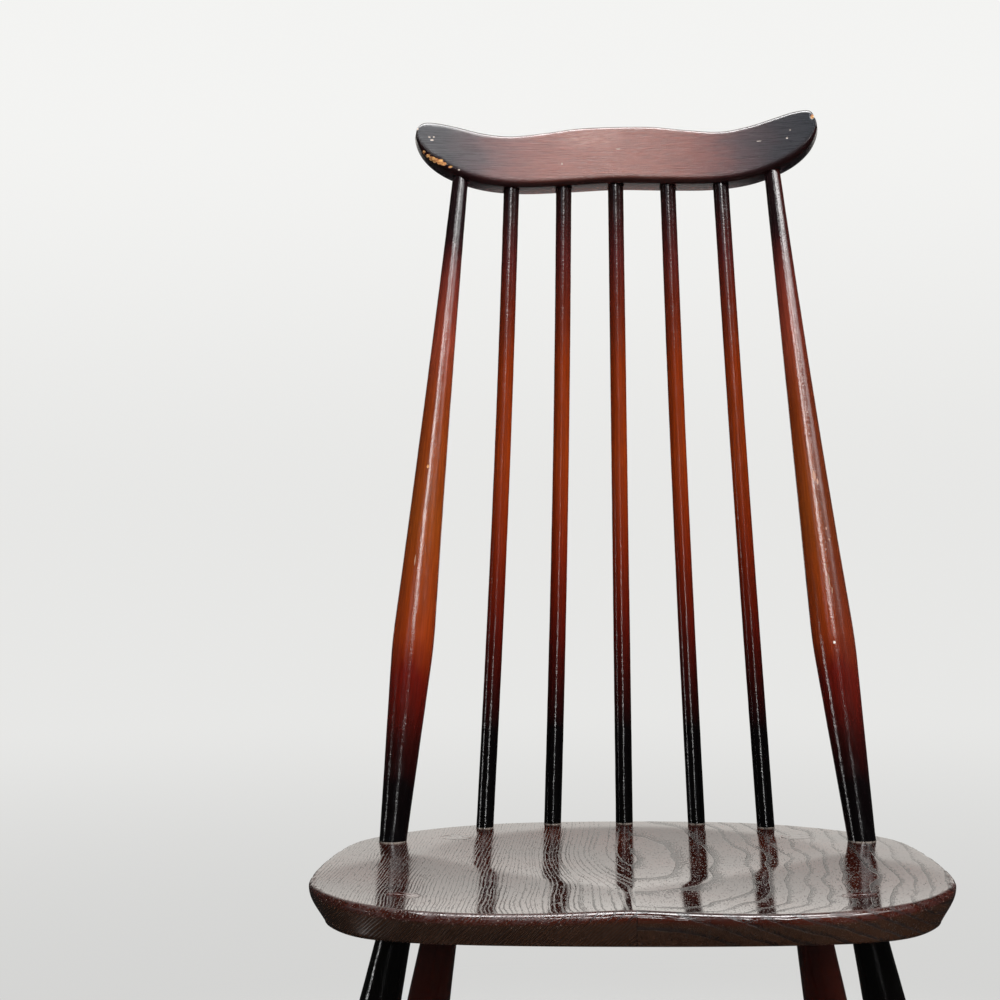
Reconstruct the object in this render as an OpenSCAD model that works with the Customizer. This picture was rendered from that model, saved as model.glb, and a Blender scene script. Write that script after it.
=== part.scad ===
// Spindle-back dining chair: a two-board dished seat on four splayed turned legs with an
// H stretcher, and a leaning back of two tapered posts, five spindles and a bowed crest rail.
// Millimetres, +Z up, front towards -Y. The origin is on the floor, under the middle of
// the chair's overall width and depth.

/* [Seat] */
// Height of the seat's front edge above the floor
seat_h = 425; // [360:1:510]
// Width of the seat across its widest part
seat_w = 432; // [360:1:520]
// Depth of the seat, from front edge to rear edge
seat_d = 388; // [330:1:460]
// Thickness of the seat boards
seat_t = 22.5; // [20:0.5:30]
// Slope of the seat down towards the back, in degrees
seat_tilt = 2; // [0:0.5:5]
// Radius of the rounded top edge of the seat
seat_arris = 3; // [1:0.5:5]
// How far the front of the underside is set in from the top outline
undercut_front = 3; // [0:0.5:10]
// How far the sides and rear of the underside are set in from the top outline
undercut_side = 4; // [0:0.5:10]
// Radius of the rounded lower edge of the seat
under_r = 2; // [0.5:0.5:4]
// Distance of the glued board joint from the middle of the seat, towards the right
seam_x = 3; // [-10:0.5:10]

/* [Seat hollows] */
// Centre of each thigh hollow: in from the seat's side, and back from the front edge
thigh_in = [132, 105]; // [90:1:150]
// Depth of each thigh hollow
thigh_depth = 7.5; // [2:0.5:9]
// Radius of the large round cutter that makes each thigh hollow
thigh_r = 1100; // [700:50:1400]
// Distance of the rear hollow's centre from the rear edge
bowl_in = 183; // [160:1:200]
// Depth of the rear hollow
bowl_depth = 8.6; // [2:0.2:10]
// Radius of the large round cutter that makes the rear hollow
bowl_r = 1300; // [800:50:1500]

/* [Legs] */
// Where a front leg meets the seat top: in from the seat's side, back from the front edge
front_leg_in = [69, 84]; // [60:1:100]
// Where a rear leg meets the seat top: in from the seat's side, forward from the rear edge
rear_leg_in = [86, 88]; // [80:1:110]
// Sideways splay and forward rake of a front leg, in degrees
front_splay = [11.8, 8]; // [0:0.1:16]
// Sideways splay and backward rake of a rear leg, in degrees
rear_splay = [10.6, 12]; // [0:0.1:16]
// Diameter of a leg's tenon through the seat
leg_tenon_d = 22; // [16:0.5:26]
// Diameter of a leg at its thickest place
leg_knee_d = 36; // [28:0.5:42]
// Distance of the thickest place below the seat top, along the leg
leg_knee_at = 165; // [120:1:200]
// Diameter of a leg at the floor
leg_foot_d = 23; // [18:0.5:30]

/* [Stretchers] */
// Height of the side stretchers above the floor, at their front ends
side_stretcher_h = 178; // [120:1:220]
// How much lower the side stretchers are at their rear ends
side_stretcher_drop = 10; // [0:1:30]
// Diameter of a stretcher at its ends
stretcher_end_d = 15; // [10:0.5:18]
// Diameter of a stretcher at its middle
stretcher_mid_d = 24; // [20:0.5:30]
// How deep a stretcher goes into a leg
leg_socket_depth = 14; // [8:0.5:16]
// How deep the cross stretcher goes into a side stretcher
side_socket_depth = 11; // [6:0.5:12]
// Diameter of the cross stretcher's tenons
cross_tenon_d = 13; // [8:0.5:15]

/* [Back posts] */
// Where a back post meets the seat top: in from the seat's side, forward from the rear edge
post_seat_in = [39, 109]; // [36:1:120]
// Where a back post enters the crest rail: in from the rail's tip, above its lower edge
post_crest_in = [36.2, 6]; // [4:0.1:50]
// Diameter of a back post at the seat
post_foot_d = 21; // [16:0.5:24]
// Diameter of a back post at its thickest place
post_knee_d = 33; // [24:0.5:38]
// Distance of the thickest place above the seat, along the post
post_knee_at = 154; // [110:1:200]
// Diameter of a back post where it enters the crest rail
post_top_d = 13.6; // [10:0.2:17]
// How much thinner than a straight taper a back post is, halfway up to the crest rail
post_hollow = 1.4; // [0:0.1:3]

/* [Spindles] */
// Sideways distance between a back post and the outer spindle, on the seat
outer_seat_gap = 65.5; // [40:0.5:80]
// Sideways distance between the outer and the inner spindle, on the seat
inner_seat_gap = 53.5; // [30:0.5:60]
// Where the middle, inner and outer spindles meet the seat top, forward from the rear edge
spindle_in = [13, 16, 38]; // [12:1:60]
// Sideways distance between a back post and the outer spindle, on the crest rail
outer_crest_gap = 42.6; // [30:0.1:50]
// Sideways distance between the outer and the inner spindle, on the crest rail
inner_crest_gap = 44.1; // [30:0.1:50]
// Diameter of a spindle at the seat
spindle_foot_d = 13.8; // [10:0.2:16]
// Diameter of a spindle where it enters the crest rail
spindle_top_d = 13.4; // [9:0.2:15]
// Depth of the spindles' blind sockets in the seat
spindle_socket_depth = 14; // [8:0.5:16]

/* [Crest rail] */
// Height of the crest rail's lower edge, at its middle, above the seat's front edge
back_rise = 522.4; // [435:1:627]
// Lean of the middle spindle, in degrees from upright
back_lean = 11.1; // [5:0.1:16]
// Lean of the crest rail's front face, in degrees from upright
crest_lean = 12; // [5:0.5:18]
// Width of the crest rail's front face, from tip to tip
crest_w = 334; // [300:1:400]
// How far the tips of the crest rail stand forward of its middle
crest_bow = 26; // [10:1:40]
// Thickness of the crest rail at its middle
crest_t = 24.5; // [20:0.5:30]
// Thickness of the crest rail at its tips
crest_tip_t = 20; // [19:0.5:24]
// Radius of the crest rail's lower front edge
crest_low_r = 5; // [2:0.5:7]
// Radius of the crest rail's other edges
crest_top_r = 3.5; // [2:0.5:6]
// Height, above the rail's lower edge line, at which posts and spindles end inside it
crest_socket_h = 24; // [18:0.5:30]

/* [Fits] */
// Radial gap between a tenon and its socket
fit = 0.1; // [0.05:0.05:0.2]
// Gap between the end of a tenon and the bottom of a blind socket
end_gap = 1; // [0.5:0.1:2]
// Thickness of a wedge at its driven end
wedge_t = 3.2; // [2:0.1:4]
// Thickness of a wedge at its thin end
wedge_tip_t = 1; // [0.6:0.1:2]
// Length of a wedge
wedge_l = 15; // [10:0.5:18]
// Gap between a wedge and the sides of its slot
wedge_fit = 0.05; // [0.02:0.01:0.1]

/* [Hidden] */

$fn = 48;
LEFT = -1;
RIGHT = 1;
BIG = 1000;          // larger than any part of the chair
KNEE_ROUND = 16;     // length over which a turned knee is rounded, each way
HOLLOW_FN = 400;     // fineness of the large round cutters
STRAIGHT = 5;        // straight length of a tenon beyond the face it enters

SEAT_COLOUR = "#2e1a17";
TURNED_COLOUR = "#4a2019";
CREST_COLOUR = "#4c2c2b";
WEDGE_COLOUR = "#6b3a24";

// ---- smooth curves --------------------------------------------------------------------

// A point on the smooth curve that passes b and c, with a and d as their outer neighbours.
function catmull(a, b, c, d, s) =
    0.5 * (2 * b + (c - a) * s + (2 * a - 5 * b + 4 * c - d) * s * s + (3 * b - 3 * c + d - a) * s * s * s);

// A point at station s, from 0 to 1, on the smooth curve through pts. Its first point lies on the
// mirror plane x = 0, and beyond its last point the curve goes on to the point after.
function on_curve(pts, after, s) =
    let (n = len(pts) - 1, i = min(floor(s * n), n - 1))
    let (before = i == 0 ? [-pts[1][0], pts[1][1]] : pts[i - 1])
    catmull(before, pts[i], pts[i + 1], i + 2 <= n ? pts[i + 2] : after, s * n - i);

// Points of a bend from a to c that is steered by the corner b.
function bend(a, b, c, steps = 6) =
    [for (i = [0:steps]) let (s = i / steps) (1 - s) * (1 - s) * a + 2 * s * (1 - s) * b + s * s * c];

// ---- the crest rail's outline -----------------------------------------------------------

// The front face's edges, from the middle to a tip: x as a share of the half width, and height
// above the lower edge's middle. The left end's upper edge is a little lower than the right's.
CREST_LOWER = [[0, 0], [0.225, -1.6], [0.45, -3.3], [0.615, -2], [0.745, 2.6], [0.86, 10.5],
    [0.94, 20.9], [0.986, 33.2], [1, 46]];
CREST_UPPER_LEFT = [[0, 49.8], [0.19, 48.9], [0.367, 44.8], [0.533, 41.9], [0.675, 44], [0.805, 49],
    [0.905, 52.1], [0.972, 51.9], [1, 46]];
CREST_UPPER_RIGHT = [[0, 49.8], [0.19, 48.9], [0.367, 44.8], [0.533, 41.9], [0.675, 45], [0.805, 50.8],
    [0.905, 55.2], [0.978, 55], [1, 46]];

// ---- the chair's main points --------------------------------------------------------------

// Where the pieces meet the seat top: sideways from the middle, back from the front edge.
front_leg_at = [seat_w / 2 - front_leg_in[0], front_leg_in[1]];
rear_leg_at = [seat_w / 2 - rear_leg_in[0], seat_d - rear_leg_in[1]];
post_seat_at = [seat_w / 2 - post_seat_in[0], seat_d - post_seat_in[1]];
outer_seat_x = post_seat_at[0] - outer_seat_gap;
spindle_seat_x = [0, outer_seat_x - inner_seat_gap, outer_seat_x];
spindle_seat_y = [for (inset = spindle_in) seat_d - inset];
thigh_at = [seat_w / 2 - thigh_in[0], thigh_in[1]];
bowl_y = seat_d - bowl_in;

// Where the posts and spindles enter the crest rail, sideways from the middle.
post_crest_x = crest_w / 2 - post_crest_in[0];
outer_crest_x = post_crest_x - outer_crest_gap;
spindle_crest_x = [0, outer_crest_x - inner_crest_gap, outer_crest_x];

// Overall depth: from the seat's front edge to the back of the crest rail's top edge.
spindle_foot_z = seat_h - spindle_seat_y[0] * sin(seat_tilt);
crest_z = seat_h + back_rise;
crest_mid_y = spindle_seat_y[0] * cos(seat_tilt) + (crest_z - spindle_foot_z) * tan(back_lean);
crest_front_y = crest_mid_y - crest_t / 2 * cos(crest_lean);
depth = crest_front_y + CREST_UPPER_LEFT[0][1] * tan(crest_lean) + crest_t * cos(crest_lean);
front_y = -depth / 2;

// A point of the seat: x sideways, y back from the front edge, z above the seat's top plane.
function seat_point(x, y, z = 0) = [
    x,
    front_y + y * cos(seat_tilt) + z * sin(seat_tilt),
    seat_h - y * sin(seat_tilt) + z * cos(seat_tilt)];

// Places the children in the seat's own axes.
module on_seat() {
    translate([0, front_y, seat_h]) rotate([-seat_tilt, 0, 0]) children();
}

// Turns the children's +Z from point a towards point b, and puts their origin at a.
module along(a, b) {
    d = b - a;
    translate(a) rotate([0, acos(d[2] / norm(d)), atan2(d[1], d[0])]) children();
}

// The point on the line from a to b at height z.
function at_height(a, b, z) = a + (b - a) * (z - a[2]) / (b[2] - a[2]);

// The point at distance l from a, towards b.
function towards(a, b, l) = a + (b - a) * l / norm(b - a);

// A turned shape along +Z, from [radius, z] points.
module turned(profile) {
    last = len(profile) - 1;
    rotate_extrude() polygon(concat([[0, profile[0][1]]], profile, [[0, profile[last][1]]]));
}

// ---- seat -----------------------------------------------------------------------------------

// Right half of the seat's outline from front to rear, as shares of the half width and the depth.
SEAT_HALF = [[0, 0], [0.28, 0.003], [0.49, 0.013], [0.66, 0.037], [0.805, 0.087], [0.916, 0.163],
    [0.981, 0.25], [1, 0.35], [0.999, 0.48], [0.984, 0.606], [0.949, 0.719], [0.874, 0.8],
    [0.738, 0.882], [0.561, 0.947], [0.355, 0.985], [0, 1]];
SEAT_STEPS = 45;
LAYER_T = 0.01;      // thickness of the thin slices that the seat is hulled from
BELLY = 0.3;         // share of the undercut that is reached halfway down the seat's edge

seat_half = [for (i = [0:SEAT_STEPS])
    let (p = on_curve(SEAT_HALF, [-SEAT_HALF[14][0], SEAT_HALF[14][1]], i / SEAT_STEPS))
    [p[0] * seat_w / 2, p[1] * seat_d]];
seat_outline = concat(seat_half, [for (i = [SEAT_STEPS - 1:-1:1]) [-seat_half[i][0], seat_half[i][1]]]);

// The seat's outline at height z, set in by the given amounts.
module seat_layer(z, front, side) {
    rear = side;
    scale_x = 1 - 2 * side / seat_w;
    scale_y = 1 - (front + rear) / seat_d;
    translate([0, front, z]) linear_extrude(LAYER_T)
        polygon([for (p = seat_outline) [p[0] * scale_x, p[1] * scale_y]]);
}

module seat_blank() {
    hull() {
        for (a = [0:30:90]) {
            inset = seat_arris * (1 - cos(a));
            seat_layer(-seat_arris * (1 - sin(a)) - LAYER_T, inset, inset);
        }
        seat_layer(-seat_t / 2, undercut_front * BELLY, undercut_side * BELLY);
        seat_layer(-seat_t + under_r, undercut_front, undercut_side);
        seat_layer(-seat_t, undercut_front + under_r, undercut_side + under_r);
    }
}

// The hollows of the seat: two for the thighs and one for the seat of the sitter.
module hollows() {
    on_seat() {
        for (side = [LEFT, RIGHT])
            translate([side * thigh_at[0], thigh_at[1], thigh_r - thigh_depth])
                sphere(r = thigh_r, $fn = HOLLOW_FN);
        translate([0, bowl_y, bowl_r - bowl_depth]) sphere(r = bowl_r, $fn = HOLLOW_FN);
    }
}

// Everything above the seat's top surface.
module above_seat() {
    on_seat() translate([-BIG / 2, -BIG / 4, 0]) cube([BIG, BIG, BIG / 4]);
    hollows();
}

module seat_board(side) {
    color(SEAT_COLOUR) difference() {
        on_seat() seat_blank();
        hollows();
        translate([side == LEFT ? seam_x : seam_x - BIG, -BIG / 2, 0]) cube([BIG, BIG, BIG]);
        for (leg_side = [LEFT, RIGHT]) {
            leg_hole(leg_side, front_leg_at, front_splay, -1);
            leg_hole(leg_side, rear_leg_at, rear_splay, 1);
            post_hole(leg_side);
        }
        for (i = [-2:2]) spindle_socket(i);
    }
}

// ---- legs -----------------------------------------------------------------------------------

// The top point of a leg's axis, in the seat's top plane.
function leg_top(side, at) = seat_point(side * at[0], at[1]);

// The foot of a leg's axis on the floor. towards_y is -1 for a front leg and 1 for a rear leg.
function leg_foot(side, at, splay, towards_y) =
    let (top = leg_top(side, at))
    [top[0] + side * top[2] * tan(splay[0]), top[1] + towards_y * top[2] * tan(splay[1]), 0];

leg_tenon_l = seat_t + STRAIGHT;
leg_over = 20;       // how far the turned blank runs past each cut end
SEAM_TURN = 90;      // puts the start of the turned surface at the leg's side

module leg_hole(side, at, splay, towards_y) {
    top = leg_top(side, at);
    foot = leg_foot(side, at, splay, towards_y);
    along(towards(top, foot, -leg_over), foot)
        cylinder(d = leg_tenon_d + 2 * fit, h = leg_tenon_l + 2 * leg_over);
}

module leg_blank(side, at, splay, towards_y) {
    top = leg_top(side, at);
    foot = leg_foot(side, at, splay, towards_y);
    l = norm(foot - top);
    slope_up = (leg_knee_d - leg_tenon_d) / 2 / (leg_knee_at - leg_tenon_l);
    slope_down = (leg_foot_d - leg_knee_d) / 2 / (l - leg_knee_at);
    knee = [leg_knee_d / 2, leg_knee_at];
    profile = concat(
        [[leg_tenon_d / 2, -leg_over], [leg_tenon_d / 2, leg_tenon_l]],
        bend(knee - KNEE_ROUND * [slope_up, 1], knee, knee + KNEE_ROUND * [slope_down, 1]),
        [[leg_foot_d / 2 + slope_down * leg_over, l + leg_over]]);
    along(top, foot) rotate([0, 0, SEAM_TURN]) turned(profile);
}

module leg(side, at, splay, towards_y) {
    color(TURNED_COLOUR) difference() {
        leg_blank(side, at, splay, towards_y);
        above_seat();
        translate([-BIG / 2, -BIG / 2, -BIG / 4]) cube([BIG, BIG, BIG / 4]);
        wedge_slot(side * at[0], at[1]);
        side_stretcher_tenons(side, fit, end_gap);
    }
}

// ---- wedges ---------------------------------------------------------------------------------

// A wedge, driven down from z = 0, with its width across the seat. Grown by gap for its slot.
module wedge_shape(width, gap) {
    half = wedge_t / 2 + gap;
    tip = wedge_tip_t / 2 + gap;
    rise = (wedge_t - wedge_tip_t) / wedge_l * end_gap / 2;
    depth_cut = wedge_l + (gap > 0 ? end_gap : 0);
    tip_at_cut = gap > 0 ? tip - rise : tip;
    over = 12;
    grow = (half - tip) / wedge_l * over;
    rotate([90, 0, 90]) translate([0, 0, -width / 2]) linear_extrude(width)
        polygon([[-tip_at_cut, -depth_cut], [tip_at_cut, -depth_cut],
            [half + grow, over], [-half - grow, over]]);
}

module wedge_slot(x, y) {
    on_seat() translate([x, y, -hollow_depth(x, y)]) wedge_shape(2 * leg_tenon_d, wedge_fit);
}

// How far the seat's top surface lies under its top plane.
function hollow_depth(x, y) = max(0,
    thigh_depth - (pow(abs(x) - thigh_at[0], 2) + pow(y - thigh_at[1], 2)) / 2 / thigh_r,
    bowl_depth - (x * x + pow(y - bowl_y, 2)) / 2 / bowl_r);

module leg_wedge(side, at, splay, towards_y) {
    top = leg_top(side, at);
    foot = leg_foot(side, at, splay, towards_y);
    color(WEDGE_COLOUR) difference() {
        intersection() {
            along(towards(top, foot, -leg_over), foot) cylinder(d = leg_tenon_d, h = 3 * leg_over);
            on_seat() translate([side * at[0], at[1], -hollow_depth(at[0], at[1])])
                wedge_shape(2 * leg_tenon_d, 0);
        }
        above_seat();
    }
}

// ---- crest rail -----------------------------------------------------------------------------

CREST_STEPS = 26;
CREST_LAST = 0.985;  // station of the last section, just short of the tip

// A point of the crest rail: x sideways, h above the lower edge line, t back from the front face.
function crest_point(x, h, t) =
    let (slope = -2 * crest_bow * x / pow(crest_w / 2, 2), n = sqrt(1 + slope * slope))
    [x - t * cos(crest_lean) * slope / n,
     front_y + crest_front_y - crest_bow * pow(2 * x / crest_w, 2)
        + h * tan(crest_lean) + t * cos(crest_lean) / n,
     crest_z + h - t * sin(crest_lean)];

function crest_thickness(x) = crest_t - (crest_t - crest_tip_t) * pow(2 * x / crest_w, 2);

// The edge of the front face at station s, which runs from -1 at the left tip to 1 at the right.
function crest_edge(pts, other, s) =
    let (p = on_curve(pts, other[7], abs(s)))
    [sign(s) * p[0] * crest_w / 2, p[1]];

// One quarter of a section's outline: centre, radius, first angle.
function corner(c, r, a) = [for (i = [0:4]) c + r * [cos(a + i * 22.5), sin(a + i * 22.5)]];

// The outline of a section that is l high and t thick, as [height, depth]. The corners' radii
// shrink to fit the low sections at the tips.
function crest_section(l, t) =
    let (r = min(crest_top_r, 0.45 * l), q = min(crest_low_r, 0.5 * l))
    concat(
        corner([q, q], q, 180),
        corner([l - r, r], r, 270),
        corner([l - r, t - r], r, 0),
        corner([r, t - r], r, 90));

module crest_solid() {
    stations = [for (i = [-CREST_STEPS:CREST_STEPS]) CREST_LAST * sin(90 * i / CREST_STEPS)];
    rings = [for (s = stations)
        let (upper = s < 0 ? CREST_UPPER_LEFT : CREST_UPPER_RIGHT)
        let (a = crest_edge(CREST_LOWER, upper, s), b = crest_edge(upper, CREST_LOWER, s))
        let (l = norm(b - a), t = crest_thickness(a[0]))
        [for (p = crest_section(l, t)) let (q = a + (b - a) * p[0] / l) crest_point(q[0], q[1], p[1])]];
    n = len(rings[0]);
    m = len(rings);
    points = [for (r = rings) each r];
    sides = [for (j = [0:m - 2], i = [0:n - 1])
        let (k = (i + 1) % n)
        each [[j * n + i, j * n + k, (j + 1) * n + i], [j * n + k, (j + 1) * n + k, (j + 1) * n + i]]];
    first = [for (i = [n - 1:-1:0]) i];
    last = [for (i = [0:n - 1]) (m - 1) * n + i];
    polyhedron(points, concat(sides, [first], [last]));
}

module crest_rail() {
    color(CREST_COLOUR) difference() {
        crest_solid();
        for (side = [LEFT, RIGHT]) post_top_socket(side);
        for (i = [-2:2]) spindle_top_socket(i);
    }
}

// ---- back posts and spindles ----------------------------------------------------------------

// The ends of a back post's axis: in the seat's top plane, and at the crest rail's lower edge.
function post_low(side) = seat_point(side * post_seat_at[0], post_seat_at[1]);
function post_high(side) =
    crest_point(side * post_crest_x, post_crest_in[1], crest_thickness(post_crest_x) / 2);
function post_end(side) = at_height(post_low(side), post_high(side), crest_z + crest_socket_h);

module post_hole(side) {
    low = post_low(side);
    along(towards(low, post_high(side), -2 * seat_t), post_high(side))
        cylinder(d = post_foot_d + 2 * fit, h = 4 * seat_t);
}

module post_top_socket(side) {
    end = post_end(side);
    low = post_low(side);
    along(towards(end, low, -end_gap), low) cylinder(d = post_top_d + 2 * fit, h = crest_socket_h + crest_t);
}

module back_post(side) {
    low = post_low(side);
    end = post_end(side);
    l = norm(end - low);
    top_straight = norm(end - post_high(side)) + STRAIGHT;
    slope_up = (post_knee_d - post_foot_d) / 2 / (post_knee_at - STRAIGHT);
    slope_down = (post_top_d - post_knee_d) / 2 / (l - top_straight - post_knee_at);
    knee = [post_knee_d / 2, post_knee_at];
    knee_end = knee + KNEE_ROUND * [slope_down, 1];
    neck = [post_top_d / 2, l - top_straight];
    profile = concat(
        [[post_foot_d / 2, -2 * seat_t], [post_foot_d / 2, STRAIGHT]],
        bend(knee - KNEE_ROUND * [slope_up, 1], knee, knee_end),
        bend(knee_end, (knee_end + neck) / 2 - [post_hollow, 0], neck, 12),
        [[post_top_d / 2, l]]);
    color(TURNED_COLOUR) difference() {
        along(low, end) turned(profile);
        on_seat() translate([-BIG / 2, -BIG / 4, -seat_t - BIG / 4]) cube([BIG, BIG, BIG / 4]);
        post_wedge_place(side) wedge_shape(2 * post_foot_d, wedge_fit);
    }
}

// The way square to the seat's top plane, upwards.
SEAT_UP = [0, sin(seat_tilt), cos(seat_tilt)];

// Where a post's axis meets the seat's underside, with +Z pointing down out of the seat.
module post_wedge_place(side) {
    low = post_low(side);
    up = post_high(side) - low;
    translate(low - up * seat_t / (up * SEAT_UP)) rotate([180 - seat_tilt, 0, 0]) children();
}

module post_wedge(side) {
    low = post_low(side);
    color(WEDGE_COLOUR) difference() {
        intersection() {
            along(towards(low, post_high(side), -2 * seat_t), post_high(side))
                cylinder(d = post_foot_d, h = 3 * seat_t);
            post_wedge_place(side) wedge_shape(2 * post_foot_d, 0);
        }
        on_seat() translate([-BIG / 2, -BIG / 4, -seat_t - BIG / 4]) cube([BIG, BIG, BIG / 4]);
    }
}

// Spindles are numbered -2 to 2, from left to right.
function spindle_low(i) = seat_point(sign(i) * spindle_seat_x[abs(i)], spindle_seat_y[abs(i)]);
function spindle_high(i) =
    let (x = spindle_crest_x[abs(i)]) crest_point(sign(i) * x, 0, crest_thickness(x) / 2);
function spindle_foot(i) = towards(spindle_low(i), spindle_high(i), end_gap - spindle_socket_depth);
function spindle_end(i) = at_height(spindle_low(i), spindle_high(i), crest_z + crest_socket_h);

module spindle_socket(i) {
    low = spindle_low(i);
    high = spindle_high(i);
    along(towards(low, high, -spindle_socket_depth), high)
        cylinder(d = spindle_foot_d + 2 * fit, h = 2 * seat_t);
}

module spindle_top_socket(i) {
    end = spindle_end(i);
    low = spindle_low(i);
    along(towards(end, low, -end_gap), low)
        cylinder(d = spindle_top_d + 2 * fit, h = crest_socket_h + crest_t);
}

module spindle(i) {
    foot = spindle_foot(i);
    end = spindle_end(i);
    l = norm(end - foot);
    low_straight = spindle_socket_depth + STRAIGHT;
    top_straight = norm(end - spindle_high(i)) + STRAIGHT;
    profile = [[spindle_foot_d / 2, 0], [spindle_foot_d / 2, low_straight],
        [spindle_top_d / 2, l - top_straight], [spindle_top_d / 2, l]];
    color(TURNED_COLOUR) along(foot, end) turned(profile);
}

// ---- stretchers -----------------------------------------------------------------------------

// The ends of a side stretcher's axis, on the axes of its front and rear legs.
function side_front(side) = at_height(leg_top(side, front_leg_at),
    leg_foot(side, front_leg_at, front_splay, -1), side_stretcher_h);
function side_rear(side) = at_height(leg_top(side, rear_leg_at),
    leg_foot(side, rear_leg_at, rear_splay, 1), side_stretcher_h - side_stretcher_drop);
function side_middle(side) = (side_front(side) + side_rear(side)) / 2;

// Radius of a leg at distance s below the seat top.
function leg_radius(s, l) = s < leg_knee_at ? leg_knee_d / 2
    : leg_knee_d / 2 + (leg_foot_d - leg_knee_d) / 2 * (s - leg_knee_at) / (l - leg_knee_at);

// Distance from a leg's axis, at height z, to the end of the stretcher inside the leg.
function tenon_stop(top, foot, z) =
    leg_radius(norm(top - at_height(top, foot, z)), norm(foot - top)) - leg_socket_depth;
front_stop = tenon_stop(leg_top(RIGHT, front_leg_at), leg_foot(RIGHT, front_leg_at, front_splay, -1),
    side_stretcher_h);
rear_stop = tenon_stop(leg_top(RIGHT, rear_leg_at), leg_foot(RIGHT, rear_leg_at, rear_splay, 1),
    side_stretcher_h - side_stretcher_drop);

// The profile of a stretcher that is l long, with tenons of the given diameter and straight length.
function stretcher_profile(l, end_d, tenon_l) = concat(
    [[end_d / 2, 0]],
    bend([end_d / 2, tenon_l], [stretcher_mid_d / 2, l * 0.32], [stretcher_mid_d / 2, l / 2], 10),
    bend([stretcher_mid_d / 2, l / 2], [stretcher_mid_d / 2, l * 0.68], [end_d / 2, l - tenon_l], 10),
    [[end_d / 2, l]]);

module side_stretcher_tenons(side, gap, deeper) {
    front = side_front(side);
    rear = side_rear(side);
    for (pair = [[front, rear, front_stop], [rear, front, rear_stop]])
        along(towards(pair[0], pair[1], pair[2] - deeper), pair[1])
            cylinder(d = stretcher_end_d + 2 * gap, h = 3 * leg_socket_depth);
}

module side_stretcher(side) {
    start = towards(side_front(side), side_rear(side), front_stop);
    end = towards(side_rear(side), side_front(side), rear_stop);
    tenon_l = leg_socket_depth + STRAIGHT;
    color(TURNED_COLOUR) difference() {
        along(start, end) turned(stretcher_profile(norm(end - start), stretcher_end_d, tenon_l));
        along(cross_end(side, end_gap), side_middle(-side))
            cylinder(d = cross_tenon_d + 2 * fit, h = stretcher_mid_d);
    }
}

// The end of the cross stretcher inside a side stretcher, or that much deeper.
function cross_end(side, deeper = 0) = towards(side_middle(side), side_middle(-side),
    stretcher_mid_d / 2 - side_socket_depth - deeper);

module cross_stretcher() {
    start = cross_end(LEFT);
    end = cross_end(RIGHT);
    color(TURNED_COLOUR) along(start, end)
        turned(stretcher_profile(norm(end - start), cross_tenon_d, side_socket_depth + STRAIGHT));
}

// ---- nodes ----------------------------------------------------------------------------------

seat_board(LEFT);  // seat_left_board
seat_board(RIGHT);  // seat_right_board
crest_rail();
back_post(LEFT);  // left_back_post
back_post(RIGHT);  // right_back_post
spindle(-2);  // spindle_1
spindle(-1);  // spindle_2
spindle(0);  // spindle_3
spindle(1);  // spindle_4
spindle(2);  // spindle_5
leg(LEFT, front_leg_at, front_splay, -1);  // front_left_leg
leg(RIGHT, front_leg_at, front_splay, -1);  // front_right_leg
leg(LEFT, rear_leg_at, rear_splay, 1);  // rear_left_leg
leg(RIGHT, rear_leg_at, rear_splay, 1);  // rear_right_leg
side_stretcher(LEFT);  // left_side_stretcher
side_stretcher(RIGHT);  // right_side_stretcher
cross_stretcher();
leg_wedge(LEFT, front_leg_at, front_splay, -1);  // front_left_wedge
leg_wedge(RIGHT, front_leg_at, front_splay, -1);  // front_right_wedge
leg_wedge(LEFT, rear_leg_at, rear_splay, 1);  // rear_left_wedge
leg_wedge(RIGHT, rear_leg_at, rear_splay, 1);  // rear_right_wedge
post_wedge(LEFT);  // left_post_wedge
post_wedge(RIGHT);  // right_post_wedge
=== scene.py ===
"""Looks of the spindle-back chair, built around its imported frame. Lengths are in metres, and MM turns
the chair's own millimetres into them. Points of the seat and of the crest rail are worked out by the
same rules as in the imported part, so that every piece lies where the frame holds it."""

from math import cos, e as EULER, pi, radians, sin, tan

import bpy
import numpy as np
from mathutils import Matrix, Vector


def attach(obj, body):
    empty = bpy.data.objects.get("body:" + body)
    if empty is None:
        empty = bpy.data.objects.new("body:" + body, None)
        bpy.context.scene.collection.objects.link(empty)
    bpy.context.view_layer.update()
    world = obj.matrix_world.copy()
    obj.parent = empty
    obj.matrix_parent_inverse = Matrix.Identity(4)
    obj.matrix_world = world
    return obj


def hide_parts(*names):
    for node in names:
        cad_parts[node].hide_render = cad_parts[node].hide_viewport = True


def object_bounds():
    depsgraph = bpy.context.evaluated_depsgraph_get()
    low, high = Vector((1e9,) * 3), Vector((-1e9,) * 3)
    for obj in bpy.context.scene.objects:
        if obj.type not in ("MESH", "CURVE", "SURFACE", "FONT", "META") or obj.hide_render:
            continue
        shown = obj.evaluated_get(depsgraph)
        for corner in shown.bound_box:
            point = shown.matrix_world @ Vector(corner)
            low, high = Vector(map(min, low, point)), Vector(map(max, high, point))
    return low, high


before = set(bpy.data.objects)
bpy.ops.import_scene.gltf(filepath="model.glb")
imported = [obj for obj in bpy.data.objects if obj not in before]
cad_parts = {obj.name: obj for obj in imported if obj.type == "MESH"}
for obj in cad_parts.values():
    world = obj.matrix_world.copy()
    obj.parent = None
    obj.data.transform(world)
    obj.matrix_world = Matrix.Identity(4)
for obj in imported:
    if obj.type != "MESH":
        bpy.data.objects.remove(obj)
cad_lo, cad_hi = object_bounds()

MM = 0.001
LEFT, RIGHT = -1, 1

# ---- sizes of the chair, in millimetres ----

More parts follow.
